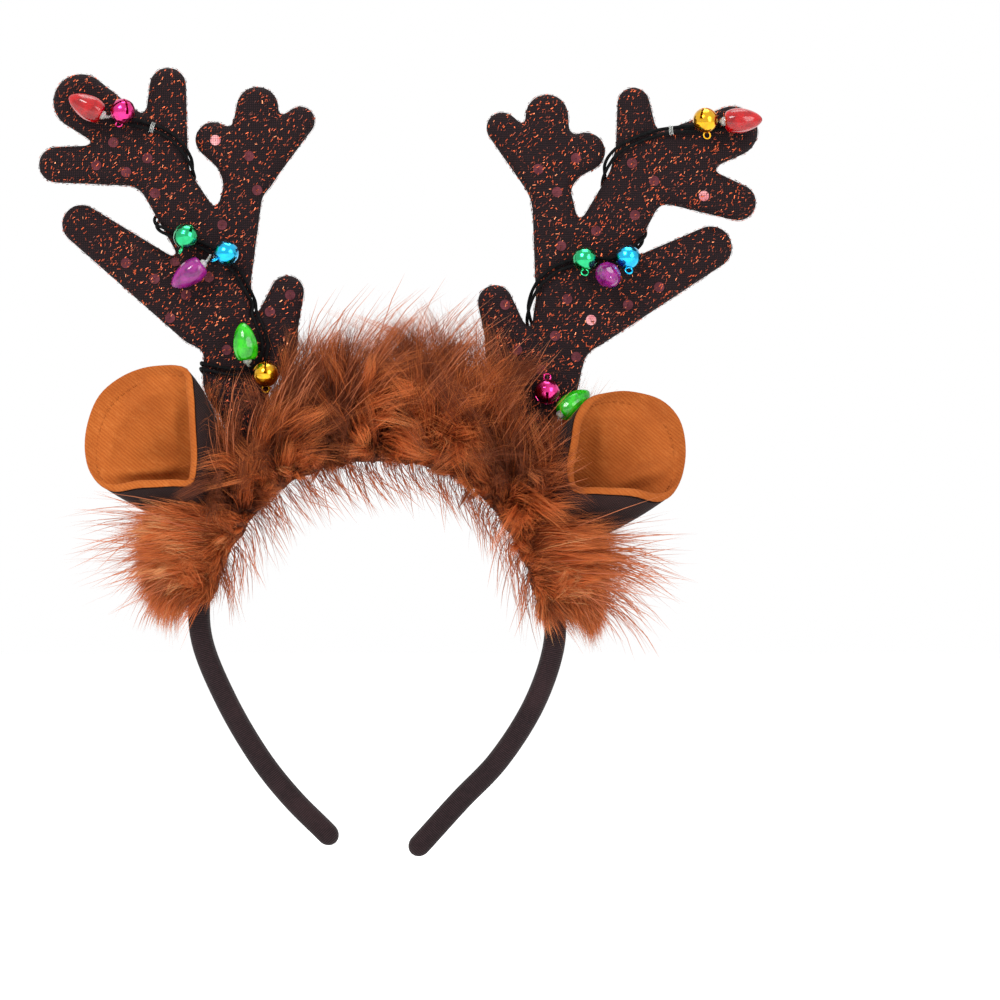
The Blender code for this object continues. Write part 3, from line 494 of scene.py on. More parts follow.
class Shader:
    """A material with short calls for its nodes."""

    def __init__(self, name, **settings):
        self.material = bpy.data.materials.new(name)
        self.material.use_nodes = True
        self.tree = self.material.node_tree
        self.surface = self.tree.nodes["Principled BSDF"]
        self.output = self.tree.nodes["Material Output"]
        for socket, value in settings.items():
            self.surface.inputs[socket.replace("_", " ")].default_value = value
        self.place = self.node("ShaderNodeTexCoord").outputs["Object"]

    def node(self, kind, **settings):
        made = self.tree.nodes.new(kind)
        for key, value in settings.items():
            setattr(made, key, value)
        return made

    def join(self, source, target):
        self.tree.links.new(source, target)

    def set(self, node, socket, value):
        if isinstance(value, bpy.types.NodeSocket):
            self.join(value, node.inputs[socket])
        else:
            node.inputs[socket].default_value = value

    def maths(self, operation, *values):
        made = self.node("ShaderNodeMath", operation=operation)
        for i, value in enumerate(values):
            self.set(made, i, value)
        return made.outputs[0]

    def mix(self, share, one, two):
        made = self.node("ShaderNodeMix", data_type="RGBA", blend_type="MIX")
        self.set(made, "Factor", share)
        for socket, value in (("A", one), ("B", two)):
            target = [s for s in made.inputs if s.name == socket and s.type == "RGBA"][0]
            if isinstance(value, bpy.types.NodeSocket):
                self.join(value, target)
            else:
                target.default_value = (*value, 1.0)
        return [s for s in made.outputs if s.type == "RGBA"][0]

    def ramp(self, value, *stops):
        """A run of colours, each given as its place along and its red, green and blue in 0 to 255."""
        made = self.node("ShaderNodeValToRGB")
        made.color_ramp.interpolation = "LINEAR"
        while len(made.color_ramp.elements) < len(stops):
            made.color_ramp.elements.new(0.5)
        for element, (at, *colour) in zip(made.color_ramp.elements, stops):
            element.position = at
            element.color = (*linear(*colour), 1.0)
        self.set(made, "Fac", value)
        return made.outputs["Color"]

    def rise(self, value, low, high):
        """0 up to low and 1 from high."""
        made = self.node("ShaderNodeMapRange", interpolation_type="SMOOTHSTEP")
        self.set(made, "Value", value)
        self.set(made, "From Min", low)
        self.set(made, "From Max", high)
        return made.outputs["Result"]

    def moved(self, vector, scale=(1, 1, 1), turn=(0, 0, 0)):
        made = self.node("ShaderNodeMapping")
        self.join(vector, made.inputs["Vector"])
        made.inputs["Scale"].default_value = scale
        made.inputs["Rotation"].default_value = [math.radians(a) for a in turn]
        return made.outputs["Vector"]

    def texture(self, kind, vector, inputs, **settings):
        """A procedural texture at a vector, or at the place in the part where none is given."""
        made = self.node(kind, **settings)
        self.join(vector or self.place, made.inputs["Vector"])
        for socket, value in inputs.items():
            made.inputs[socket].default_value = value
        return made.outputs

    def noise(self, scale, detail=3.0, vector=None, rough=0.55):
        inputs = {"Scale": scale, "Detail": detail, "Roughness": rough}
        return self.texture("ShaderNodeTexNoise", vector, inputs)["Fac"]

    def cells(self, scale, vector=None):
        return self.texture("ShaderNodeTexVoronoi", vector, {"Scale": scale})["Distance"]

    def wave(self, scale, vector=None, direction="X", distortion=0.0):
        inputs = {"Scale": scale, "Distortion": distortion, "Detail Scale": 2.0}
        return self.texture("ShaderNodeTexWave", vector, inputs, bands_direction=direction)["Fac"]

    def split(self, vector):
        """The parts of a vector, by X, Y and Z."""
        made = self.node("ShaderNodeSeparateXYZ")
        self.join(vector, made.inputs[0])
        return made.outputs

    def tinted(self, tone, mask, share, over):
        """The tone with a share of another, given in 0 to 255, over it where the mask is."""
        return self.mix(self.maths("MULTIPLY", mask, share), tone, linear(*over))

    def colour(self, value):
        linked = isinstance(value, bpy.types.NodeSocket)
        self.set(self.surface, "Base Color", value if linked else (*value, 1))

    def roughness(self, value):
        self.set(self.surface, "Roughness", value)

    def bump(self, height, strength=0.5, distance=0.0003):
        made = self.node("ShaderNodeBump")
        made.inputs["Strength"].default_value = strength
        made.inputs["Distance"].default_value = distance
        self.join(height, made.inputs["Height"])
        self.join(made.outputs["Normal"], self.surface.inputs["Normal"])


def band_cloth():
    """Dark ribbed cloth. The rib lines run across the band, from its length along in the UV map."""
    s = Shader("band_cloth", Roughness=0.85, Specular_IOR_Level=0.15, Sheen_Weight=0.03)
    uv = s.node("ShaderNodeTexCoord").outputs["UV"]
    ribs = s.wave(0.314 / 0.62 * 100, s.moved(uv, (0.01, 0.0, 0.0)), "X")
    thread = s.noise(900, 2.0)
    patches = s.noise(45, 3.0)
    dark, light = linear(20, 12, 14), linear(50, 35, 37)
    tone = s.mix(s.rise(ribs, 0.25, 0.9), dark, light)
    tone = s.tinted(tone, s.rise(thread, 0.35, 0.7), 0.5, (20, 13, 14))
    s.colour(s.tinted(tone, s.rise(patches, 0.4, 0.7), 0.35, (54, 36, 38)))
    s.bump(s.maths("ADD", ribs, s.maths("MULTIPLY", thread, 0.5)), 0.6, 0.00022)
    return s.material


def dark_cloth():
    """The ears' outside: the same dark cloth as a close plain weave."""
    s = Shader("dark_cloth", Roughness=0.9, Specular_IOR_Level=0.15, Sheen_Weight=0.03)
    along = s.wave(520, s.moved(s.place, turn=(0, 38, 0)), "X", 0.6)
    across = s.wave(520, s.moved(s.place, turn=(0, 38, 0)), "Z", 0.6)
    weave = s.maths("MULTIPLY", along, across)
    patches = s.noise(60, 3.0)
    tone = s.mix(s.rise(weave, 0.1, 0.7), linear(24, 14, 14), linear(54, 36, 34))
    s.colour(s.tinted(tone, s.rise(patches, 0.4, 0.7), 0.4, (48, 28, 27)))
    s.bump(weave, 0.5, 0.0002)
    return s.material


def tan_cloth():
    """The ears' lining: brushed tan twill, with diagonal lines and a raised nap, and painted shade that makes
    the right ear's lining darker.
    """
    s = Shader("tan_cloth", Roughness=0.9, Specular_IOR_Level=0.15, Sheen_Weight=0.06, Sheen_Roughness=0.45)
    s.surface.inputs["Sheen Tint"].default_value = (*linear(255, 190, 120), 1)
    turned = s.moved(s.place, turn=(0, 50, 0))
    twill = s.wave(330, turned, "X", 1.4)
    nap = s.noise(700, 3.0, s.moved(turned, (1, 1, 0.18)), 0.7)
    blotch = s.noise(70, 4.0)
    tone = s.mix(s.rise(twill, 0.1, 0.9), linear(151, 76, 27), linear(164, 88, 34))
    tone = s.tinted(tone, s.rise(nap, 0.45, 0.75), 0.5, (182, 106, 50))
    tone = s.tinted(tone, s.rise(blotch, 0.42, 0.72), 0.4, (132, 62, 20))
    # Painted shade: the right ear's lining (x over 0) is painted darker, for the shade of its folds.
    right = s.rise(s.split(s.place)["X"], 0.0, 0.01)
    s.colour(s.tinted(tone, right, 0.24, (112, 52, 18)))
    s.bump(s.maths("ADD", s.maths("MULTIPLY", twill, 0.4), s.maths("MULTIPLY", nap, 1.2)), 0.55, 0.0003)
    return s.material


def glitter_cloth():
    """Near-black knit with a little dull copper in its threads."""
    s = Shader("glitter_cloth", Specular_IOR_Level=0.15)
    knit = s.maths("MULTIPLY", s.wave(480, None, "X", 1.0), s.wave(420, None, "Z", 1.0))
    pile = s.noise(1300, 2.0)
    turned = s.moved(s.place, (1.0, 1.0, 0.42), (0, 42, 0))
    thread = s.cells(1150, turned)
    which = s.noise(1500, 2.0, turned, 0.7)
    fleck = s.maths("MULTIPLY", s.rise(thread, 0.26, 0.14), s.rise(which, 0.60, 0.70))
    tone = s.mix(s.rise(knit, 0.05, 0.6), linear(15, 8, 10), linear(40, 24, 27))
    tone = s.tinted(tone, s.rise(pile, 0.4, 0.7), 0.5, (24, 13, 16))
    s.colour(s.mix(fleck, tone, linear(150, 64, 36)))
    s.join(s.maths("MULTIPLY", fleck, 0.4), s.surface.inputs["Metallic"])
    s.roughness(s.maths("SUBTRACT", 0.85, s.maths("MULTIPLY", fleck, 0.35)))
    s.bump(s.maths("ADD", knit, s.maths("MULTIPLY", fleck, 0.8)), 0.5, 0.00025)
    return s.material


def fleck_metal():
    """Copper glitter threads, each a little different."""
    s = Shader("fleck_metal", Metallic=0.55, Roughness=0.4)
    uv = s.split(s.node("ShaderNodeTexCoord").outputs["UV"])
    dull = ((0.0, 60, 24, 18), (0.35, 112, 44, 25))
    bright = ((0.7, 182, 70, 32), (0.92, 212, 92, 44), (1.0, 232, 146, 102))
    s.colour(s.ramp(uv["Y"], *dull, *bright))
    s.bump(s.noise(2500, 2.0), 0.3, 0.0001)
    return s.material


def sequin_metal(name, tone, gleam):
    """Sequins under the knit's dark net: mauve, or painted bright as a painted highlight, with the net's
    threads over them.
    """
    s = Shader(name, Metallic=0.2, Roughness=0.5, Specular_IOR_Level=0.1)
    net = s.maths("MULTIPLY", s.wave(480, None, "X", 1.0), s.wave(420, None, "Z", 1.0))
    face = s.mix(s.rise(s.noise(420, 3.0), 0.35, 0.7), linear(*tone), linear(*gleam))
    s.colour(s.tinted(face, s.rise(net, 0.35, 0.05), 0.45, (50, 30, 38)))
    s.bump(net, 0.25, 0.0001)
    return s.material


def bell_metal(name, tone):
    """Lacquered tin: bright, with a thin clear coat and faint scuffs."""
    s = Shader(name, Metallic=1.0, Coat_Weight=0.6, Coat_Roughness=0.06)
    scuff = s.noise(380, 4.0, None, 0.65)
    dark = tuple(c * 0.7 for c in linear(*tone))
    s.colour(s.mix(s.rise(scuff, 0.4, 0.72), linear(*tone), dark))
    s.roughness(s.maths("ADD", 0.16, s.maths("MULTIPLY", s.rise(scuff, 0.45, 0.8), 0.18)))
    s.bump(s.noise(1400, 2.0), 0.08, 0.0001)
    return s.material


def bulb_plastic(name, tone, deep):
    """Tinted clear plastic, a little cloudy, its tint deeper in soft patches."""
    s = Shader(
        name, Roughness=0.12, IOR=1.46, Transmission_Weight=0.45, Coat_Weight=0.25, Coat_Roughness=0.08
    )
    s.surface.inputs["Subsurface Weight"].default_value = 0.25
    s.surface.inputs["Subsurface Scale"].default_value = 0.002
    s.colour(s.mix(s.rise(s.noise(320, 3.0), 0.35, 0.7), linear(*tone), linear(*deep)))
    s.bump(s.noise(700, 2.0), 0.1, 0.0001)
    return s.material


def clear_plastic():
    s = Shader("clear_plastic", Roughness=0.14, IOR=1.45, Transmission_Weight=0.7, Coat_Weight=0.3)
    s.colour(s.mix(s.rise(s.noise(500, 3.0), 0.4, 0.7), linear(238, 240, 236), linear(205, 212, 205)))
    s.bump(s.noise(900, 2.0), 0.15, 0.0001)
    return s.material


def wire_sleeve():
    s = Shader("wire_sleeve", Roughness=0.7, Specular_IOR_Level=0.06)
    grain = s.noise(1200, 3.0)
    s.colour(s.mix(s.rise(grain, 0.4, 0.7), linear(9, 9, 10), linear(17, 18, 19)))
    s.bump(grain, 0.15, 0.0001)
    return s.material


def fur_hair():
    """Hair: dark at the root, ginger in the middle, light at the tip. UV is the way along, and a shade."""
    s = Shader("fur_hair", Roughness=0.6, Specular_IOR_Level=0.25)
    uv = s.split(s.node("ShaderNodeTexCoord").outputs["UV"])
    along, shade = uv["X"], uv["Y"]
    ginger = s.ramp(along, (0.0, 48, 22, 14), (0.30, 122, 52, 22), (0.62, 190, 91, 41), (1.0, 214, 124, 67))
    dark = s.ramp(along, (0.0, 34, 16, 12), (0.45, 80, 36, 19), (1.0, 122, 62, 34))
    blond = s.ramp(along, (0.0, 92, 46, 22), (0.40, 200, 124, 70), (1.0, 236, 180, 124))
    patch = s.noise(48, 3.0, None, 0.6)
    guard = s.ramp(along, (0.0, 110, 50, 28), (0.5, 158, 82, 48), (1.0, 192, 114, 76))
    tone = s.mix(s.rise(s.maths("ADD", shade, s.maths("MULTIPLY", patch, 0.8)), 0.55, 0.95), dark, ginger)
    tone = s.mix(s.rise(s.maths("ADD", shade, s.maths("MULTIPLY", patch, 0.5)), 1.05, 1.25), tone, blond)
    s.colour(s.mix(s.rise(shade, 0.0, -0.05), tone, guard))
    glow = s.node("ShaderNodeBsdfTranslucent")
    s.join(s.surface.inputs["Base Color"].links[0].from_socket, glow.inputs["Color"])
    both = s.node("ShaderNodeMixShader")
    both.inputs["Fac"].default_value = 0.2
    s.join(s.surface.outputs[0], both.inputs[1])
    s.join(glow.outputs[0], both.inputs[2])
    s.join(both.outputs[0], s.output.inputs["Surface"])
    return s.material


def fur_root():
    """The short dense wool under the hair."""
    s = Shader("fur_root", Roughness=0.95)
    wool = s.noise(900, 4.0, s.moved(s.place, (1, 1, 0.35)), 0.7)
    patch = s.noise(60, 3.0)
    tone = s.mix(s.rise(wool, 0.35, 0.7), linear(60, 28, 15), linear(138, 68, 30))
    s.colour(s.tinted(tone, s.rise(patch, 0.4, 0.65), 0.6, (84, 40, 20)))
    s.bump(wool, 1.0, 0.0012)
    return s.material


# Hair band


def make_band():
    """The sleeve as a smooth tube with UV along it and a welt near its inner edge."""
    total = BAND_ALONG[-1]
    tips = (0.0, 0.25, 0.7, 1.4, 2.3, 3.4)
    stations = np.array([*tips, *np.linspace(4.6, total - 4.6, 150), *(total - t for t in reversed(tips))])
    point, _, out = band_frames(stations)
    share = np.abs(stations / total * 2 - 1)
    width = BAND_WIDTH_TOP + (BAND_WIDTH_TIP - BAND_WIDTH_TOP) * share**3
    from_tip = np.minimum(stations, total - stations)
    size = np.sqrt(np.maximum(0.01, 1 - np.maximum(0, 1 - from_tip / (BAND_THICKNESS * 0.55)) ** 2))
    around = 28
    rings, uvs = [], []
    for k in range(around):
        turn = 2 * math.pi * k / around
        c, s = math.cos(turn), math.sin(turn)
        flat = (abs(c) ** 2.6 + abs(s) ** 2.6) ** (-1 / 2.6)
        welt = 1 + 0.06 * math.exp(-(((turn - math.radians(228)) / 0.13) ** 2))
        n = (c * flat * welt * (BAND_THICKNESS / 2 - 0.02) * size)[:, None]
        y = s * flat * welt * width / 2 * size
        ring = point + out * n
        ring[:, 1] = y
        rings.append(ring)
        uvs.append(np.stack([stations, np.full(len(stations), k)], axis=1))
    rings, uvs = np.stack(rings, axis=1), np.stack(uvs, axis=1)
    points, quads = skin_rings(rings)
    band = from_arrays("band_sleeve", points, quads, band_cloth(), uv=uvs.reshape(-1, 2))
    close_ends(band)
    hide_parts("band")
    return band


def close_ends(obj):
    bm = bmesh.new()
    bm.from_mesh(obj.data)
    bmesh.ops.holes_fill(bm, edges=[e for e in bm.edges if e.is_boundary])
    bmesh.ops.recalc_face_normals(bm, faces=bm.faces)
    bm.to_mesh(obj.data)
    bm.free()
    obj.data.shade_smooth()


# Antlers


def lean_at(z):
    return ANTLER_LEAN * z / ANTLER_HEIGHT


def limb_field(places, limbs):
    """Signed distance of places x, z to an antler's outline: tapering limbs, blended where they meet."""
    places = np.atleast_2d(places)
    field = None
    for x0, z0, r0, x1, z1, r1 in limbs.values():
        start, span = np.array([x0, z0]), np.array([x1 - x0, z1 - z0])
        share = np.clip((places - start) @ span / (span @ span), 0, 1)
        away = np.linalg.norm(places - start - share[:, None] * span, axis=1)
        away = away - (r0 + (r1 - r0) * share)
        if field is None:
            field = away
            continue
        mix = np.clip(0.5 + 0.5 * (field - away) / ANTLER_FILLET, 0, 1)
        field = field + (away - field) * mix - ANTLER_FILLET * mix * (1 - mix)
    over_band = BAND_THICKNESS / 2 + GAP - height_over_band(places)
    corner = 8.0
    mix = np.clip(0.5 - 0.5 * (field - over_band) / corner, 0, 1)
    return field + (over_band - field) * mix + corner * mix * (1 - mix)


def field_and_slope(places, limbs, step=0.05):
    """The field at each place and the direction out of the outline there."""
    moves = np.array([(0, 0), (step, 0), (-step, 0), (0, step), (0, -step)])
    around = (places[None] + moves[:, None]).reshape(-1, 2)
    field = limb_field(around, limbs).reshape(len(moves), -1)
    slope = np.stack([field[1] - field[2], field[3] - field[4]], axis=1)
    return field[0], slope / np.linalg.norm(slope, axis=1, keepdims=True)


def trace_outline(limbs, step=0.7):
    """Walks once round an antler's outline in even short steps."""
    x0, z0, _, x1, z1, r1 = limbs["lower_tine"]
    way = np.array([x1 - x0, z1 - z0]) / math.hypot(x1 - x0, z1 - z0)
    place = np.array([[x1, z1]]) + way * r1
    walk, slopes = [], []
    while len(walk) < 50 or np.linalg.norm(place[0] - walk[0]) > step:
        for _ in range(2):
            field, slope = field_and_slope(place, limbs)
            place = place - field[:, None] * slope
        walk.append(place[0].copy())
        slopes.append(slope[0].copy())
        place = place + step * np.stack([-slope[:, 1], slope[:, 0]], axis=1)
    return np.array(walk), np.array(slopes)


def antler_solid(side):
    """The flat padded form with round edges, a little large because the smoothing takes some off."""
    outline, slopes = trace_outline(ANTLER_LIMBS[side])
    bm = bmesh.new()
    made = []
    for arc in np.radians((-90, -68, -46, -23, 0, 23, 46, 68, 90)):
        places = outline + slopes * (ANTLER_SPARE - ANTLER_EDGE * (1 - math.cos(arc)))
        y = (ANTLER_THICKNESS / 2 + 0.05) * math.sin(arc)
        made.append([bm.verts.new((x, y + lean_at(z), z)) for x, z in places])
    add_walls(bm, made)
    bm.faces.new(made[0])
    bm.faces.new(made[-1])
    bmesh.ops.recalc_face_normals(bm, faces=bm.faces)
    bmesh.ops.triangulate(bm, faces=bm.faces)
    return finish_bmesh(f"antler_{side}_cloth", bm)


def make_antler(side, cloth):
    """The padded antler: a fine even skin over the solid, crowned a little and softly puckered."""
    antler = add_object(f"antler_{side}_cloth", antler_solid(side))
    skin = antler.modifiers.new("skin", "REMESH")
    skin.mode = "VOXEL"
    skin.voxel_size = 1.0 * MM
    even = antler.modifiers.new("even", "SMOOTH")
    even.factor = 0.5
    even.iterations = 3
    graph = bpy.context.evaluated_depsgraph_get()
    mesh = bpy.data.meshes.new_from_object(antler.evaluated_get(graph))
    antler.modifiers.clear()
    antler.data = mesh
    antler.data.name = antler.name
    co = np.zeros(len(mesh.vertices) * 3)
    mesh.vertices.foreach_get("co", co)
    co = co.reshape(-1, 3) / MM
    off = co[:, 1] - lean_at(co[:, 2])
    pucker = 0.16 * np.sin(co[:, 0] * 0.42 + 1.3 * np.sin(co[:, 2] * 0.21)) * np.sin(co[:, 2] * 0.37 + 0.6)
    pucker += 0.07 * np.sin(co[:, 0] * 1.1 + co[:, 2] * 0.7) * np.sin(co[:, 2] * 1.3 - co[:, 0] * 0.5)
    co[:, 1] += np.sign(off) * np.clip((np.abs(off) - 2.2) / 1.0, 0, 1) * (pucker - 0.05)
    mesh.vertices.foreach_set("co", (co * MM).ravel())
    mesh.materials.clear()
    mesh.materials.append(cloth)
    mesh.shade_smooth()
    mesh.update()
    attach(antler, "root")
    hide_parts(f"antler_{side}")
    return antler


def face_points(obj, count, rng, faces_y):
    """Seeded points on the front or back of an antler, with the surface's normals, in millimetres."""
    mesh = obj.data
    centres = np.zeros(len(mesh.polygons) * 3)
    normals = np.zeros(len(mesh.polygons) * 3)
    areas = np.zeros(len(mesh.polygons))
    mesh.polygons.foreach_get("center", centres)
    mesh.polygons.foreach_get("normal", normals)
    mesh.polygons.foreach_get("area", areas)
    centres, normals = centres.reshape(-1, 3) / MM, normals.reshape(-1, 3)
    fit = areas * (normals[:, 1] * faces_y > -0.2)
    pick = rng.choice(len(areas), count, p=fit / fit.sum())
    aside = unit(np.cross(normals[pick], rng.normal(size=(count, 3))))
    spread = np.sqrt(areas[pick] / MM**2)[:, None] * 0.55
    return centres[pick] + aside * spread * rng.uniform(0, 1, (count, 1)), normals[pick]


def make_flecks(side, antler, material, rng):
    """Short copper threads that catch the light, lying on the knit at a slant."""
    points, uvs = [], []
    for faces_y in (-1, 1):
        at, normal = face_points(antler, FLECKS_PER_FACE, rng, faces_y)
        count = len(at)
        slant = math.radians(48) + rng.normal(0, 0.5, count)
        lie = np.stack([np.cos(slant), np.zeros(count), np.sin(slant)], axis=1)
        lie = unit(lie - normal * (lie * normal).sum(1, keepdims=True))
        side_way = np.cross(normal, lie)
        tilt = rng.normal(0, 0.35, (count, 1))
        side_way = unit(side_way + normal * tilt)
        lie = unit(lie + normal * rng.normal(0, 0.12, (count, 1)))
        half_length = rng.uniform(0.22, 0.55, (count, 1))
        half_width = rng.uniform(0.08, 0.15, (count, 1))
        at = at + normal * (0.26 + half_width * np.abs(tilt))
        a, b = lie * half_length, side_way * half_width
        points.append(np.stack([at - a - b, at + a - b, at + a + b, at - a + b], axis=1).reshape(-1, 3))
        uvs.append(np.stack([np.zeros(count * 4), np.repeat(rng.uniform(0, 1, count), 4)], axis=1))
    points, uvs = np.vstack(points), np.vstack(uvs)
    quads = np.arange(len(points)).reshape(-1, 4)
    from_arrays(f"flecks_{side}", points, quads, material, 0, uvs)


def make_sequins(side, tree, materials, rng):
    """Round sequins with a dished face and a hole, sewn flat on both sides."""
    # Kind 1 is painted bright: a painted highlight on the sequins that catch the light.
    for kind, material in enumerate(materials):
        bm = bmesh.new()
        spots = [(x, z, -1) for x, z, bright in SEQUINS[side] if bright == kind]
        spots += [(x + 2.5, z - 3.0, 1) for x, z, bright in SEQUINS[side] if bright == kind]
        for x, z, faces_y in spots:
            start = Vector((x, faces_y * 40, z)) * MM
            hit, normal, _, _ = tree.ray_cast(start, Vector((0, -faces_y, 0)))
            if hit is None:
                continue
            centre, normal = np.array(hit) / MM, np.array(normal)
            normal = unit(normal + rng.normal(0, 0.03, 3))
            across = unit(np.cross(normal, (0.3, 0.1, 1.0)))
            up = np.cross(normal, across)
            made = []
            for r, h in SEQUIN_ROWS:
                turns = [2 * math.pi * k / SEQUIN_SIDES for k in range(SEQUIN_SIDES)]
                ring = [centre + normal * h + across * r * math.cos(t) + up * r * math.sin(t) for t in turns]
                made.append([bm.verts.new(p) for p in ring])
            add_walls(bm, made)
        from_bmesh(f"sequins_{side}_{'bright' if kind else 'plain'}", bm, material, 40)


# Ears


def ear_grid(side, shares):
    """Rings of points from the band (share 0) to the ear's mouth (share 1)."""
    rows = np.array(EAR_MOUTHS[side])
    rim = np.vstack([smooth_curve(rows, 16, closed=True), rows[0]])
    mouth = at_lengths(rim, np.linspace(0, lengths_along(rim)[-1], EAR_AROUND + 1)[:-1])
    high, low = (band_length_at(place) for place in EAR_BASES[side])
    turn = 2 * math.pi * np.arange(EAR_AROUND) / EAR_AROUND
    point, _, out = band_frames((high + low) / 2 + (high - low) / 2 * np.cos(turn))
    base = point + out * (BAND_THICKNESS / 2 + GAP + 0.1)
    base[:, 1] = -EAR_BASE_DEPTH * np.sin(turn)
    spread = unit(mouth[:, :3] - mouth[:, :3].mean(0))
    grid = [base + (mouth[:, :3] - base) * u + spread * 4 * u * (1 - u) * mouth[:, 3:4] for u in shares]
    return np.array(grid)


def ear_normals(side, shares):
    step = 0.01
    here = ear_grid(side, shares)
    along = ear_grid(side, [s + step for s in shares]) - ear_grid(side, [s - step for s in shares])
    around = np.roll(here, -1, axis=1) - np.roll(here, 1, axis=1)
    out = unit(np.cross(around, along))
    centre = here.mean(axis=1, keepdims=True)
    return -out if ((here - centre) * out).sum() < 0 else out


def ear_rings(side, steps):
    """Rings at (share, depth under the outer face) steps. The rim is thin behind, where it isn't folded."""
    shares = [s for s, _ in steps]
    depths = np.array([d for _, d in steps])[:, None]
    grid = ear_grid(side, shares)
    front_edge = np.clip((-ear_grid(side, [1.0])[0, :, 1] - 4.0) / 10.0, 0.12, 1.0)[None]
    at_rim = np.clip((np.array(shares)[:, None] - 0.80) / 0.12, 0, 1)
    depths = np.where(depths > 0, depths * (1 - at_rim * (1 - front_edge)), depths)
    return grid - ear_normals(side, shares) * depths[..., None]


def ear_folds(points, side, inner):
    """Soft dents of the cloth: a few shallow folds that run from the mouth to the band."""
    x, z = points[..., 0], points[..., 2]
    hand = -1 if side == "left" else 1
    fold = 0.35 * np.sin(0.30 * (hand * x + 0.6 * z) + 0.5) * np.sin(0.17 * z - 0.09 * x)
    points = points + np.stack([fold * 0.4 * hand, fold, fold * 0.3], axis=-1)
    for x0, z0, x1, z1, wide, high in EAR_CREASES[side]:
        start, span = np.array((x0, z0)), np.array((x1 - x0, z1 - z0))
        share = np.clip((points[..., [0, 2]] - start) @ span / (span @ span), 0, 1)
        away = points[..., [0, 2]] - start - share[..., None] * span
        far = np.linalg.norm(away, axis=-1)
        swell = inner * np.exp(-((far / wide) ** 2)) * np.sin(math.pi * np.clip(share, 0.08, 0.92))
        points[..., 1] -= high * swell
    return points


def make_ear(side, inner_cloth, outer_cloth):
    lining = EAR_BACK_WALL + EAR_LAYER_GAP
    inside = lining + EAR_FRONT_WALL
    edge, turned_edge = 0.945, 0.965
    many = [(u, 0) for u in np.linspace(0, edge, 15)]
    back = many + [(edge, 0.5), (edge, EAR_BACK_WALL)]
    back += [(u, EAR_BACK_WALL) for u in np.linspace(edge - 0.03, 0.07, 8)]
    front = [(u, lining) for u in np.linspace(0.12, edge, 8)] + [(turned_edge, lining), (turned_edge, 0.6)]
    front += [(turned_edge + 0.001, 0.0), (0.98, -0.12), (0.995, 0.25), (1.005, 0.9), (1.005, inside - 0.8)]
    front += [(0.99, inside - 0.2), (0.965, inside), (0.93, inside + 0.05), (0.91, inside - 0.1)]
    front += [(u, inside) for u in np.linspace(0.88, 0.18, 36)]
    made = []
    for name, steps, cloth, slot in (
        ("back", back, outer_cloth, "dark_cloth"),
        ("front", front, inner_cloth, "tan_cloth"),
    ):
        inside_only = np.array([depth > lining + 0.5 and share < 0.9 for share, depth in steps], float)
        rings = ear_folds(ear_rings(side, steps), side, inside_only[:, None])
        points, quads = skin_rings(rings)
        ear = from_arrays(f"ear_{side}_{name}_cloth", points, quads, cloth)
        close_ends(ear)
        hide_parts(f"ear_{side}_{name}")
        made.append(ear)
    make_rim_stitches(side, inside, inner_cloth)
    return made


def make_rim_stitches(side, inside, cloth):
    """Small stitches inside the rim where the lining is turned over."""
    ring = ear_rings(side, [(0.905, inside + 0.12)])[0]
    line = np.vstack([ring, ring[:1]])
    total = lengths_along(line)[-1]
    starts = np.arange(0, total - 1.0, 2.4)
    bm = bmesh.new()
    for start in starts:
        pts = at_lengths(line, start + np.linspace(0, 1.5, 4))
        bulge = unit(line.mean(0) - pts) * np.array([0.0, 0.14, 0.14, 0.0])[:, None]
        add_tube(bm, pts + bulge, [0.10, 0.13, 0.13, 0.10], 5)
    from_bmesh(f"rim_stitches_{side}", bm, cloth)


def add_tube(bm, line, radii, sides, closed=False):
    """Adds a round tube along a line of points to a bmesh."""
    line = np.asarray(line, float)
    if closed:
        way = unit(np.roll(line, -1, axis=0) - np.roll(line, 1, axis=0))
    else:
        way = unit(np.gradient(line, axis=0))
    across = np.cross(way[0], (0.31, 0.84, 0.45))
    turns = 2 * math.pi * np.arange(sides)[:, None] / sides
    rings = []
    for point, ahead, radius in zip(line, way, radii):
        across = unit(across - ahead * (across @ ahead))
        ring = point + radius * (np.cos(turns) * across + np.sin(turns) * np.cross(ahead, across))
        rings.append([bm.verts.new(p) for p in ring])
    add_walls(bm, rings, closed)
    if not closed:
        bm.faces.new(rings[0])
        bm.faces.new(rings[-1])


def tube_piece(name, line, radii, sides, material):
    bm = bmesh.new()
    add_tube(bm, line, radii, sides)
    return from_bmesh(name, bm, material, 50)


# Bells and bulbs


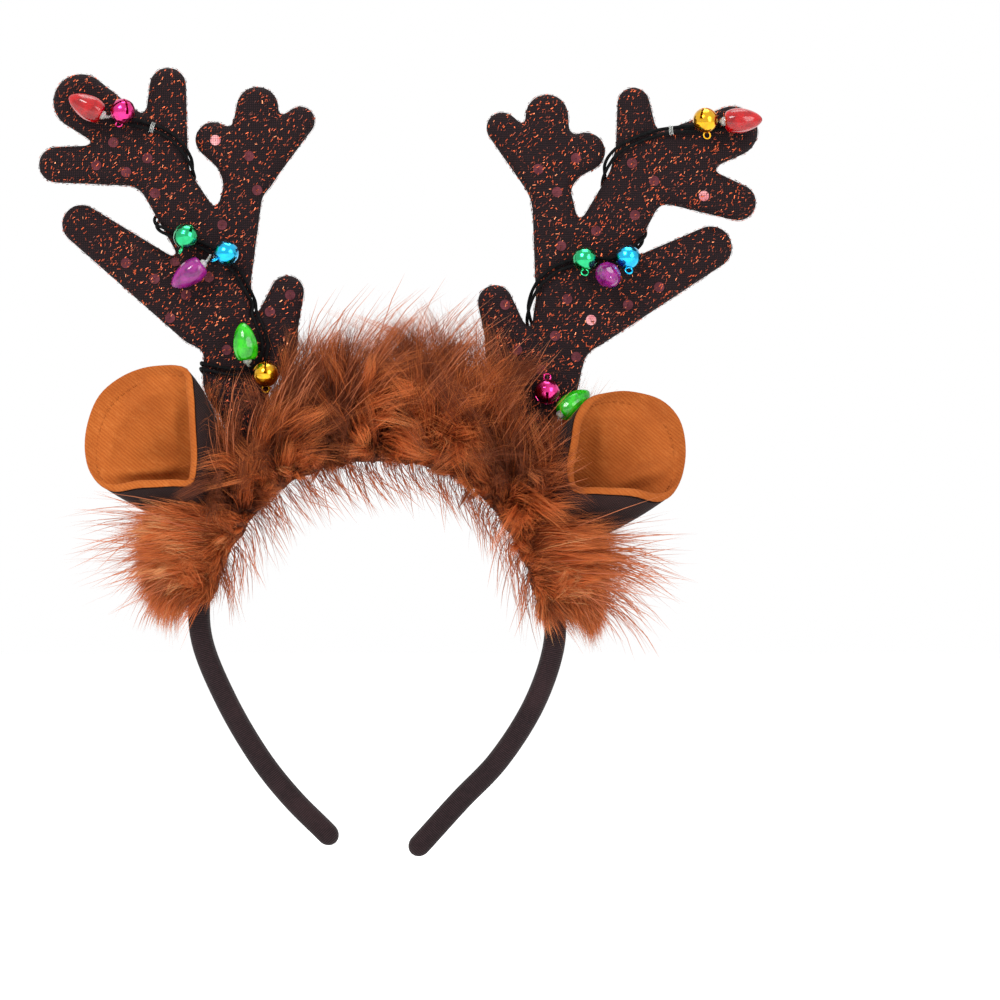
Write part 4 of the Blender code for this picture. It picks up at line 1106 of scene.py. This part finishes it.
def bell_mesh():
    """A thin round bell with a cross of slits at +Z, a seam round its middle and a hanging loop at -Z."""
    around, rows = 48, 26
    bm = bmesh.new()
    grid = []
    for row in range(rows + 1):
        lift = math.pi * (row / rows - 0.5)
        seam = 1 + 0.028 * math.exp(-((lift / 0.05) ** 2)) - 0.012 * math.exp(-(((lift - 0.12) / 0.06) ** 2))
        r, h = BELL_RADIUS * seam * math.cos(lift), BELL_RADIUS * seam * math.sin(lift)
        ring = []
        for k in range(around):
            turn = 2 * math.pi * k / around
            ring.append(bm.verts.new((r * math.cos(turn), r * math.sin(turn), h)))
        grid.append(ring)
    for row in range(rows):
        for k in range(around):
            after = (k + 1) % around
            corners = (grid[row][k], grid[row][after], grid[row + 1][after], grid[row + 1][k])
            x, y, z = np.mean([v.co for v in corners], axis=0)
            if z > BELL_RADIUS * 0.30 and min(abs(x), abs(y)) < BELL_SLIT:
                continue
            bm.faces.new(corners)
    bmesh.ops.remove_doubles(bm, verts=bm.verts, dist=1e-4)
    bmesh.ops.delete(bm, geom=[v for v in bm.verts if not v.link_faces], context="VERTS")
    bmesh.ops.recalc_face_normals(bm, faces=bm.faces)
    bmesh.ops.solidify(bm, geom=bm.faces[:], thickness=0.4)
    turns = [2 * math.pi * k / 16 for k in range(16)]
    loop = [(1.15 * math.cos(t), 0.0, -(BELL_RADIUS + 0.83) + 1.15 * math.sin(t)) for t in turns]
    add_tube(bm, loop, [0.32] * 16, 8, closed=True)
    return finish_bmesh("bell", bm)


def place_mesh(name, mesh, at, way, material, smooth=50):
    """A copy of the mesh at a place in millimetres, with its +Z turned to the given way."""
    own = mesh.copy()
    turn = Vector(way).to_track_quat("Z", "Y").to_matrix().to_4x4()
    own.transform(Matrix.Translation(Vector(at) * MM) @ turn)
    obj = link_mesh(name, own, material, smooth)
    own.name = name
    return obj


def bell_centre(x, z, on_wires):
    under = WIRE_CLEAR + 2 * WIRE_RADIUS + GAP if on_wires else GAP
    return (x, lean_at(z) - ANTLER_THICKNESS / 2 - under - BELL_RADIUS, z)


def make_bells():
    mesh = bell_mesh()
    metals = {colour: bell_metal(f"bell_{colour}", tone) for colour, tone in METAL_TONES.items()}
    made = []
    for side, colour, x, z, on_wires, loop_way in BELLS:
        name = f"bell_{side}_{colour}"
        way = [-c for c in loop_way]
        centre = bell_centre(x, z, on_wires)
        bell = place_mesh(f"{name}_shell", mesh, centre, way, metals[colour])
        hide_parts(name)
        made.append(bell)
    return made


def bulb_mesh():
    """A fluted drop with its tip towards +Z, hollow and open at its base."""
    rows = ((0.60, 0.0), (0.80, 0.05), (1.0, 0.30), (0.90, 0.58), (0.55, 0.85), (0.16, 0.985), (0.0, 1.0))
    curve = smooth_curve([(r * BULB_RADIUS, h * BULB_LENGTH) for r, h in rows], 5)
    around = 60
    bm = bmesh.new()
    turns = 2 * math.pi * np.arange(around) / around
    rings = []
    for r, h in curve[:-1]:
        flute = 1 - 0.035 * np.abs(np.cos(5 * turns)) * math.sin(math.pi * min(1.0, h / BULB_LENGTH))
        places = [(r * f * math.cos(t), r * f * math.sin(t), h) for t, f in zip(turns, flute)]
        rings.append([bm.verts.new(place) for place in places])
    tip = bm.verts.new((0, 0, BULB_LENGTH))
    add_walls(bm, rings)
    for k in range(around):
        bm.faces.new((rings[-1][k], rings[-1][(k + 1) % around], tip))
    bmesh.ops.recalc_face_normals(bm, faces=bm.faces)
    bmesh.ops.solidify(bm, geom=bm.faces[:], thickness=BULB_WALL)
    bmesh.ops.recalc_face_normals(bm, faces=bm.faces)
    return finish_bmesh("bulb", bm)


def tube_line(name, start, sides):
    """The middle points and radii of a packed tube, in order from the end that is nearest to the start."""
    bm = bmesh.new()
    bm.from_mesh(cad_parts[name].data)
    bmesh.ops.remove_doubles(bm, verts=bm.verts, dist=1e-6)
    start = Vector(start) * MM
    ring = sorted(bm.verts, key=lambda v: (v.co - start).length)[:sides]
    seen, points, radii = set(), [], []
    while ring:
        places = np.array([v.co for v in ring]) / MM
        points.append(places.mean(0))
        radii.append(np.linalg.norm(places - points[-1], axis=1).mean())
        seen |= set(ring)
        beside = dict.fromkeys(e.other_vert(v) for v in ring for e in v.link_edges)
        ring = [v for v in beside if v not in seen]
    bm.free()
    return np.array(points), np.array(radii)


def make_bulbs(clear):
    mesh = bulb_mesh()
    plastics = {colour: bulb_plastic(f"bulb_{colour}", *tones) for colour, tones in BULB_TONES.items()}
    made = []
    for side, colour, x, z, off, way in BULBS:
        base = np.array((x, lean_at(z) - ANTLER_THICKNESS / 2 - off, z))
        name = f"bulb_{side}_{colour}"
        bulb = place_mesh(f"{name}_shell", mesh, base, way, plastics[colour])
        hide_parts(name)
        tip = base + unit(np.array(way)) * 4.7
        line, radii = tube_line(f"led_{side}_{colour}", tip, 6)
        led = tube_piece(f"led_{side}_{colour}_clear", line, radii, 14, clear)
        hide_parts(f"led_{side}_{colour}")
        made.append(bulb)
    return made


def make_wires(sleeve, clear):
    made = []
    off = ANTLER_THICKNESS / 2 + WIRE_CLEAR + WIRE_RADIUS
    for side, (x, z) in WIRE_STARTS.items():
        lines = []
        for letter in "ab":
            name = f"wire_{side}_{letter}"
            points, _ = tube_line(name, (x, lean_at(z) + off, z), 5)
            line = smooth_curve(points, 4)
            lines.append(line)
            wire = tube_piece(f"{name}_sleeve", line, [WIRE_RADIUS] * len(line), 10, sleeve)
            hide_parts(name)
            made.append(wire)
        make_ties(side, lines, clear)
    return made


def make_ties(side, lines, clear):
    """Clear thread wound round the pair of wires beside each group of bells and bulbs."""
    places = {"left": (0.55, 0.93), "right": (0.60, 0.90)}
    bm = bmesh.new()
    for share in places[side]:
        ends = [line[round(share * (len(line) - 1))] for line in lines]
        ahead = [line[round(share * (len(line) - 1)) + 3] for line in lines]
        middle, apart = np.mean(ends, axis=0), (ends[1] - ends[0]) / 2
        way = unit(np.mean(ahead, axis=0) - middle)
        aside = unit(apart - way * (apart @ way))
        lift = np.cross(way, aside)
        wide, high = np.linalg.norm(apart) + WIRE_RADIUS + 0.13, WIRE_RADIUS + 0.13
        for turn in (-0.5, 0.0, 0.5):
            turns = [2 * math.pi * k / 20 for k in range(20)]
            centre = middle + way * turn
            loop = [centre + aside * wide * math.cos(t) + lift * high * math.sin(t) for t in turns]
            add_tube(bm, loop, [0.16] * 20, 6, closed=True)
    from_bmesh(f"wire_ties_{side}", bm, clear, 50)


# Fur


def root_radius(turn):
    """How far from the band's middle line a hair starts."""
    return 6.6 + 0.9 * np.cos(turn) ** 2


def place_at(lengths, turn, reach):
    """Places round the band, at an angle from the way out to the viewer and a reach from its middle."""
    point, _, out = band_frames(lengths)
    up = (reach * np.cos(turn))[..., None]
    deep = (reach * np.sin(turn))[..., None]
    return point + out * up + np.array((0.0, -1.0, 0.0)) * deep


def reach_at(turn, share):
    """How far the coat stands out of the band's middle line."""
    c = np.cos(turn)
    top = np.interp(share, *COAT_TOP)
    reach = 22.5 + top * np.maximum(c, 0) ** 0.8
    under = 9.5 + 13.0 * np.clip(1 + c / 0.85, 0, 1) ** 1.3
    reach = reach * np.interp(share, *COAT_ENDS)
    return np.where(c < 0, under * np.interp(share, (0, 0.1, 0.9, 1), (0.95, 1, 1, 0.95)), reach)


def sweep_at(share):
    """The angle by which hair leans along the band: upright over the top, outwards and down at both ends."""
    return np.interp(share, *COAT_LEAN)


class Locks:
    """Hairs in millimetres, each from a root to a tip with a bend between them."""

    def __init__(self, roots, bends, tips):
        self.roots, self.bends, self.tips = roots, bends, tips

    def pick(self, rows):
        return Locks(self.roots[rows], self.bends[rows], self.tips[rows])

    def at(self, t):
        t = np.asarray(t)[..., None]
        return self.roots * (1 - t) ** 2 + self.bends * 2 * t * (1 - t) + self.tips * t**2


def swept(lengths, turn, reach, sweep, aside):
    """Like place_at, with the part that lies in the arch's plane swept along the band."""
    point, way, out = band_frames(lengths)
    up, deep = reach * np.cos(turn), reach * np.sin(turn)
    along = np.abs(up) * np.sin(sweep) + aside
    raised = point + out * (up * np.cos(sweep))[:, None]
    return raised - np.array((0.0, 1.0, 0.0)) * deep[:, None] + way * along[:, None]


def grow_locks(share, turn, rng, kind, wild=1.0):
    """Roots, bends and tips of one kind of hair, at these shares along the fur and angles round the band."""
    start, end = band_length_at(FUR_FROM), band_length_at(FUR_TO)
    count = len(share)
    lengths = start + (end - start) * share
    radius = root_radius(turn)
    roots = place_at(lengths, turn, radius)
    roots[:, 1] *= 1.05
    reach = reach_at(turn, share)
    sweep = sweep_at(share)
    swirl = 0.16 * np.sin(share * 41 + 1.3 * np.sin(turn * 2.3)) + 0.12 * np.sin(share * 67 + turn * 3.1)
    at_end = np.interp(share, (0, 0.14, 0.22, 0.80, 0.88, 1), (1, 1, 0, 0, 1, 1))
    if kind == "coat":
        reach = reach * rng.uniform(0.80, 1.05, count)
        pulled = at_end * np.clip((np.radians(105) - np.abs(turn)) / 0.3, 0, 1)
        tip_turn = turn * (0.90 - 0.30 * pulled) + rng.normal(0, 0.17 * wild, count) + swirl
        sweep = sweep + rng.normal(0, 0.16 * wild, count) + swirl * 0.6
        lean = 0.5 * np.sin(sweep) + swirl + rng.normal(0, 0.20 * wild, count)
        aside = (reach - radius) * lean * np.abs(np.sin(turn))
        bend = 0.55
    elif kind == "guard":
        longer = 0.15 + 0.85 * np.maximum(np.cos(turn), 0) ** 3
        longer = longer * np.interp(share, *GUARD_LENGTHS)
        reach = reach * 0.97 + rng.uniform(1.0, 15.0, count) * longer * (1 + 0.5 * at_end)
        tip_turn = turn * (0.75 - 0.3 * at_end) + rng.normal(0, 0.08, count)
        sweep = sweep + 0.28 * (1 - at_end) + rng.normal(0, 0.07, count)
        aside = np.zeros(count)
        bend = 0.55
    else:
        reach = rng.uniform(14.0, 26.0, count)
        tip_turn = np.sign(turn) * (np.radians(180) - np.abs(rng.normal(0, 0.30, count)))
        sweep = np.interp(share, *INNER_LEAN)
        sweep = sweep + rng.normal(0, 0.14, count)
        aside = np.zeros(count)
        bend = 0.4
    reach = np.maximum(reach, radius + 1.5)
    tips = swept(lengths, tip_turn, reach, sweep, aside)
    bends = place_at(lengths, turn, radius + (reach - radius) * bend)
    if wild > 1:
        calmer = np.interp(np.abs(share - 0.5), (0.34, 0.42), (1.0, 0.2))[:, None]
        bends += rng.normal(0, 1.9, bends.shape) * calmer
    return roots, bends, tips


def painted_parting_shade(roots):
    """How near each root on the viewer's side is to a parting, where hair is painted darker: its dark roots,
    and painted shade in the parting.
    """
    near = np.zeros(len(roots))
    for x, z, spread in PARTINGS:
        far = np.linalg.norm(roots[:, [0, 2]] - np.array((x, z)), axis=1)
        near = np.maximum(near, np.exp(-((far / spread) ** 2)) * (roots[:, 1] < 0))
    return near


def grow_tufts(count, rng, guard):
    """The fans of hair below the ears: roots at the fur's ends, tips round a middle point on each side."""
    start, end = band_length_at(FUR_FROM), band_length_at(FUR_TO)
    hand = rng.choice((-1, 1), count)
    front = np.where(rng.uniform(0, 1, count) < 0.64, 1, -1)
    high = np.where(hand < 0, *TUFT_TOPS)
    fan = rng.uniform(0, 1, count)
    angle = high + (-84.0 - high) * fan
    if guard:
        angle = 22.0 - 106.0 * fan
        far = np.interp(angle, *TUFT_GUARD_REACH)
        far = far * rng.uniform(0.62, 1.04, count)
        deep = rng.uniform(2.0, 20.0, count)
    else:
        far = np.interp(angle, *TUFT_REACH)
        far = far * (0.42 + 1.0 * rng.beta(1.7, 2.2, count))
        waves = 1 + 0.12 * np.sin(angle * 0.21) + rng.normal(0, 0.05, count)
        far = far * np.where(hand < 0, 1.0, 0.9) * waves
        deep = 24.0 * np.sqrt(1 - (far / 27.0) ** 2 * 0.6) * rng.uniform(0.55, 1.0, count)
    angle = np.radians(angle + rng.normal(0, 9.0, count))
    middle = np.where(hand[:, None] < 0, *TUFT_MIDDLES)
    tips = middle + np.stack([hand * far * np.cos(angle), -front * deep, far * np.sin(angle)], axis=1)
    share = np.interp(np.degrees(angle), (-84, -20, 42), (0.02, 0.07, 0.15)) + rng.normal(0, 0.02, count)
    share = np.clip(share, 0.0, 0.17)
    share = np.where(hand < 0, share, 1 - share)
    turn = front * np.radians(rng.uniform(25, 118, count))
    lengths = start + (end - start) * share
    roots = place_at(lengths, turn, root_radius(turn))
    span = np.linalg.norm(tips - roots, axis=1)
    bends = place_at(lengths, turn * 0.85, root_radius(turn) + span * 0.42)
    bends[:, 2] += span * 0.08
    return roots, bends, tips, share


def part_fur(roots, bends, tips):
    """Turns the hair away from the partings, on the viewer's side."""
    for x, z, spread in PARTINGS:
        away = roots[:, [0, 2]] - np.array((x, z))
        far = np.linalg.norm(away, axis=1)
        front = np.clip(-roots[:, 1] / 5.0, 0, 1)
        push = front * np.exp(-((far / spread) ** 2)) * 9.0
        move = unit(away) * push[:, None]
        tips[:, [0, 2]] += move
        bends[:, [0, 2]] += move * 0.6
        tips[:, 1] += push * 0.5
    return bends, tips


def spread_shares(count, rng):
    """Shares along the fur, closer together in the tufts at its ends."""
    share = rng.uniform(0, 1, count)
    tuft = rng.uniform(0, 0.15, count)
    tuft = np.where(rng.uniform(0, 1, count) < 0.5, tuft, 1 - tuft)
    by_ear = rng.uniform(0.71, 0.80, count)
    which = rng.uniform(0, 1, count)
    return np.where(which < 0.20, tuft, np.where(which < 0.27, by_ear, share))


def nearest_of(places, centres, chunk=4000):
    found = []
    for i in range(0, len(places), chunk):
        apart = places[i : i + chunk, None, :] - centres[None, :, :]
        found.append(np.argmin((apart**2).sum(2), axis=1))
    return np.concatenate(found)


def grow_leads(rng):
    """The locks that hair follows, their shades, how tightly they hold it, and which are in the tufts."""
    share = spread_shares(COAT_LOCKS, rng)
    turn = np.radians(rng.uniform(-122, 122, COAT_LOCKS))
    roots, bends, tips = grow_locks(share, turn, rng, "coat", LOCK_STRAY)
    bends, tips = part_fur(roots, bends, tips)
    shade = rng.uniform(0, 1, COAT_LOCKS)
    tight = rng.uniform(0.40, 0.92, COAT_LOCKS)
    tight = tight * np.interp(np.abs(share - 0.5), (0.36, 0.42), (1.0, 0.45))
    tufts = grow_tufts(TUFT_LOCKS, rng, False)
    shade = np.append(shade, rng.uniform(0.25, 1, TUFT_LOCKS))
    tight = np.append(tight, rng.uniform(0.2, 0.7, TUFT_LOCKS))
    leads = Locks(*(np.vstack(pair) for pair in zip((roots, bends, tips), tufts)))
    return leads, shade, tight, np.arange(len(shade)) >= COAT_LOCKS


def grow_fur():
    """All the hairs by kind: their form, the locks they follow and how tightly, shade, width and share."""
    rng = np.random.default_rng(SEEDS["fur"])
    leads, lead_shade, lead_tight, in_tuft = grow_leads(rng)
    groups = []
    for kind, (count, half_width, low, high) in HAIRS.items():
        if kind in ("tuft", "tuft_guard"):
            roots, bends, tips, share = grow_tufts(count, rng, kind == "tuft_guard")
        else:
            share = spread_shares(count, rng)
            turn = np.radians(rng.uniform(low, high, count))
            if kind == "inner":
                share = rng.uniform(0.05, 0.95, count)
                turn = turn * rng.choice((-1, 1), count)
            roots, bends, tips = grow_locks(share, turn, rng, kind)
            bends, tips = part_fur(roots, bends, tips)
        shade = rng.uniform(0, 1, count)
        hair = Locks(roots, bends, tips)
        if kind in ("coat", "tuft"):
            own = np.flatnonzero(in_tuft == (kind == "tuft"))
            ends, lead_ends = (roots, leads.roots) if kind == "coat" else (tips, leads.tips)
            near = own[nearest_of(ends, lead_ends[own])]
            lead = leads.pick(near)
            tight = lead_tight[near] * (rng.uniform(0, 1, count) > 0.12)
            # Painted shade: hair whose root or middle is near a parting is painted darker, as the shade in the
            # parting.
            painted_shade = np.maximum(painted_parting_shade(roots), 0.5 * painted_parting_shade(hair.at(np.full(count, 0.45))))
            paler = 0.16 if kind == "tuft" else 0.0
            shade = np.maximum(0.65 * lead_shade[near] + 0.35 * shade + paler - 0.7 * painted_shade, 0.0)
        else:
            lead, tight = hair, np.zeros(count)
            shade = shade * 0.4 - 0.5
        groups.append((hair, lead, tight, shade, half_width * rng.uniform(0.75, 1.25, count), share))
    return groups


def hair_points(hair, lead, tight, reach):
    rows = []
    for t in HAIR_STEPS:
        at = reach * t
        pull = (tight * at**1.3)[:, None]
        rows.append(hair.at(at) + (lead.at(at) - hair.at(at)) * pull)
    points = np.stack(rows, axis=1)
    start, end = FUR_DEPTH
    deep = np.abs(points[..., 1])
    held = start + (end - start) * np.tanh((deep - start) / (end - start))
    points[..., 1] = np.sign(points[..., 1]) * np.where(deep > start, held, deep)
    return points


def make_fur(obstacles, hair_material, wool_material):
    make_wool(wool_material)
    rng = np.random.default_rng(SEEDS["twist"])
    points, shades, widths, shares = [], [], [], []
    for hair, lead, tight, shade, width, share in grow_fur():
        whole = hair_points(hair, lead, tight, np.ones(len(share)))
        keep = np.minimum(clear_shares(whole, obstacles), shares_below_bells(whole))
        long_enough = keep > 0.2
        cut = hair_points(hair, lead, tight, keep)
        points.append(cut[long_enough])
        shades.append(shade[long_enough])
        widths.append(width[long_enough])
        shares.append(share[long_enough])
    points, shades, widths, shares = (np.concatenate(a) for a in (points, shades, widths, shares))
    order = np.argsort(shares, kind="stable")
    for number, rows in enumerate(np.array_split(order, FUR_PIECES)):
        twist = rng.normal(size=(len(rows), 3))
        hair = add_hairs(f"fur_{number}", points[rows], widths[rows], shades[rows], twist, hair_material)
        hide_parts("fur_trim")


def clear_shares(points, obstacles):
    """How much of each hair is free of the obstacles, from 0 for a root that is inside one."""
    count, steps = points.shape[:2]
    keep = np.ones(count)
    starts = points / 1000.0
    spans = np.diff(starts, axis=1)
    lengths = np.linalg.norm(spans, axis=2)
    cast = obstacles.ray_cast
    for i in range(count):
        for j in range(steps - 1):
            way = Vector(spans[i, j])
            hit, normal, _, far = cast(Vector(starts[i, j]), way, lengths[i, j])
            if hit is None:
                continue
            if normal.dot(way) > 0:
                keep[i] = 0.0
            else:
                share = max(0.0, (far - 0.0004) / max(lengths[i, j], 1e-9))
                keep[i] = HAIR_STEPS[j] + (HAIR_STEPS[j + 1] - HAIR_STEPS[j]) * share
            break
    return keep


def shares_below_bells(points):
    """How much of each hair is left where it ends before a bell, as the viewer sees it."""
    keep = np.ones(len(points))
    for x, z, radius in FUR_CLEARINGS:
        for j in range(len(HAIR_STEPS) - 1, 0, -1):
            for part in (1.0, 0.67, 0.33):
                place = points[:, j - 1] + (points[:, j] - points[:, j - 1]) * part
                share = HAIR_STEPS[j - 1] + (HAIR_STEPS[j] - HAIR_STEPS[j - 1]) * part
                inside = (np.hypot(place[:, 0] - x, place[:, 2] - z) < radius) & (place[:, 1] < 0)
                keep = np.where(inside, np.minimum(keep, max(share - 0.1, 0.0)), keep)
    return keep


def add_hairs(name, points, widths, shades, twist, material):
    """Hairs as ribbons that narrow to a point. UV x runs along each hair and y is its shade."""
    count, steps = points.shape[:2]
    way = np.gradient(points, axis=1)
    side = unit(np.cross(way, twist[:, None, :]))
    shape = np.where(shades[:, None] < 0, GUARD_SHAPE, HAIR_SHAPE)[..., None] * widths[:, None, None]
    left = points[:, :-1] - side[:, :-1] * shape
    right = points[:, :-1] + side[:, :-1] * shape
    pairs = np.stack([left, right], axis=2).reshape(count, -1, 3)
    ends = steps - 1
    whole = np.concatenate([pairs, points[:, -1:]], axis=1)
    per = whole.shape[1]
    faces = []
    for k in range(ends - 1):
        a, b, c, d = 2 * k, 2 * k + 1, 2 * k + 3, 2 * k + 2
        faces += [(a, b, c), (a, c, d)]
    faces.append((2 * ends - 2, 2 * ends - 1, 2 * ends))
    index = np.arange(count)[:, None, None] * per + np.array(faces)[None]
    along = np.append(np.repeat(HAIR_STEPS[:-1], 2), 1.0)
    uv = np.stack([np.tile(along, count), np.repeat(shades, per)], axis=1)
    return from_arrays(name, whole.reshape(-1, 3), index.reshape(-1, 3), material, 0, uv)


def make_wool(material):
    """The short wool close round the band, which shows dark between the locks."""
    rng = np.random.default_rng(SEEDS["wool"])
    start, end = band_length_at(FUR_FROM), band_length_at(FUR_TO)
    stations, around = 220, 64
    share = np.linspace(0, 1, stations)
    lengths = start + (end - start) * share
    turn = np.radians(np.linspace(-128, 128, around))
    full = np.sqrt(np.clip(1 - (1 - np.clip(np.minimum(share, 1 - share) / 0.03, 0, 1)) ** 2, 0.02, 1))
    grid_s, grid_t = np.meshgrid(share, turn, indexing="ij")
    lump = 0.5 * np.sin(grid_s * 95 + grid_t * 3) + 0.4 * np.sin(grid_s * 143 - grid_t * 5)
    lump += rng.normal(0, 0.22, grid_s.shape)
    radius = 4.6 + (root_radius(grid_t) - 3.4 + lump) * full[:, None]
    grid_l = np.broadcast_to(lengths[:, None], grid_t.shape)
    outer = place_at(grid_l, grid_t, radius)
    outer[..., 1] *= 1.12
    seat, side = BAND_THICKNESS / 2 + 0.1, BAND_WIDTH_TOP / 2 + 0.15
    point, _, out = band_frames(lengths)
    inner = []
    for y, n in ((-side, -2.5), (-side, seat), (0.0, seat), (side, seat), (side, -2.5)):
        at = point + out * n
        at[:, 1] = y
        inner.append(at)
    rings = np.concatenate([outer, np.stack(inner, axis=1)], axis=1)
    points, quads = skin_rings(rings)
    wool = from_arrays("fur_wool", points, quads, material, 80)
    close_ends(wool)
    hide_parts("fur_trim")
    return wool


# Floor, light and camera

FLOOR_SIDES = 96
FLOOR_RINGS = (400, 1500, 4000)
# In metres and watts: name, place, size, power
LIGHTS = (
    ("key", (-0.7, -1.3, 1.1), 0.7, 19),
    ("fill", (1.0, -1.2, 0.5), 0.9, 8),
    ("top", (0.1, 0.2, 1.5), 1.0, 10),
)
# The camera in metres: its place in front of the part, and how much of the world it sees there
SENSOR_WIDTH = 36.0
CAMERA_DISTANCE = 2.5
CAMERA_X = 0.0396
CAMERA_Z = -0.0144
VIEW_WIDTH = 0.3275


def make_stage():
    """A wide round floor under an even white sky, so that every side can be looked at."""
    s = Shader("studio_paper", Roughness=0.9, Emission_Strength=0.05)
    s.colour(s.mix(s.rise(s.noise(3.0, 2.0), 0.3, 0.7), linear(252, 252, 252), linear(248, 248, 248)))
    turns = 2 * math.pi * np.arange(FLOOR_SIDES) / FLOOR_SIDES
    rings = [np.stack([np.cos(turns), np.sin(turns), 0 * turns], axis=1) * r for r in FLOOR_RINGS]
    points, quads = skin_rings(np.array(rings, float))
    points = np.vstack([points, (0.0, 0.0, 0.0)]) + (0.0, 0.0, FLOOR_Z)
    middle = len(points) - 1
    faces = [list(q) for q in quads] + [(middle, k, (k + 1) % FLOOR_SIDES) for k in range(FLOOR_SIDES)]
    mesh = bpy.data.meshes.new("studio_floor")
    mesh.from_pydata((points * MM).tolist(), [], faces)
    mesh.materials.append(s.material)
    floor = add_object("studio_floor", mesh)


def add_light(name, place, size, power):
    """A round light that points at the origin."""
    light = bpy.data.lights.new(name, "AREA")
    light.shape = "DISK"
    light.size = size
    light.energy = power
    obj = add_object(name, light)
    obj.location = place
    obj.rotation_euler = (-Vector(place)).to_track_quat("-Z", "Y").to_euler()


def make_light():
    world = bpy.data.worlds.new("studio")
    world.use_nodes = True
    sky = world.node_tree.nodes["Background"]
    sky.inputs["Color"].default_value = (1.0, 1.0, 1.0, 1.0)
    sky.inputs["Strength"].default_value = 1.0
    bpy.context.scene.world = world
    bpy.context.scene.view_settings.view_transform = "Standard"
    for name, place, size, power in LIGHTS:
        add_light(name, place, size, power)


def make_camera():
    data = bpy.data.cameras.new("camera")
    data.sensor_width = SENSOR_WIDTH
    data.lens = SENSOR_WIDTH * CAMERA_DISTANCE / VIEW_WIDTH
    data.clip_end = 20.0
    data.dof.use_dof = False
    camera = add_object("camera", data)
    camera.location = (CAMERA_X, -CAMERA_DISTANCE, CAMERA_Z)
    camera.rotation_euler = (math.radians(90), 0.0, 0.0)
    bpy.context.scene.camera = camera


def tree_of(objects):
    """One search tree over these objects, in metres."""
    points, faces = [], []
    for obj in objects:
        offset = len(points)
        points += [v.co.copy() for v in obj.data.vertices]
        faces += [tuple(offset + i for i in p.vertices) for p in obj.data.polygons]
    return BVHTree.FromPolygons(points, faces)


def main():
    make_camera()
    make_light()
    make_stage()
    make_band()
    cloth, flecks = glitter_cloth(), fleck_metal()
    sequins = [sequin_metal(f"sequin_{kind}", *tones) for kind, tones in SEQUIN_TONES.items()]
    clear, sleeve = clear_plastic(), wire_sleeve()
    solid = []
    for number, side in enumerate(("left", "right")):
        rng = np.random.default_rng(SEEDS["glitter"] + number)
        antler = make_antler(side, cloth)
        make_flecks(side, antler, flecks, rng)
        make_sequins(side, tree_of([antler]), sequins, rng)
        solid.append(antler)
    inner, outer = tan_cloth(), dark_cloth()
    for side in EAR_MOUTHS:
        solid += make_ear(side, inner, outer)
    solid += make_bells() + make_bulbs(clear) + make_wires(sleeve, clear)
    make_fur(tree_of(solid), fur_hair(), fur_root())


main()
bpy.context.view_layer.update()
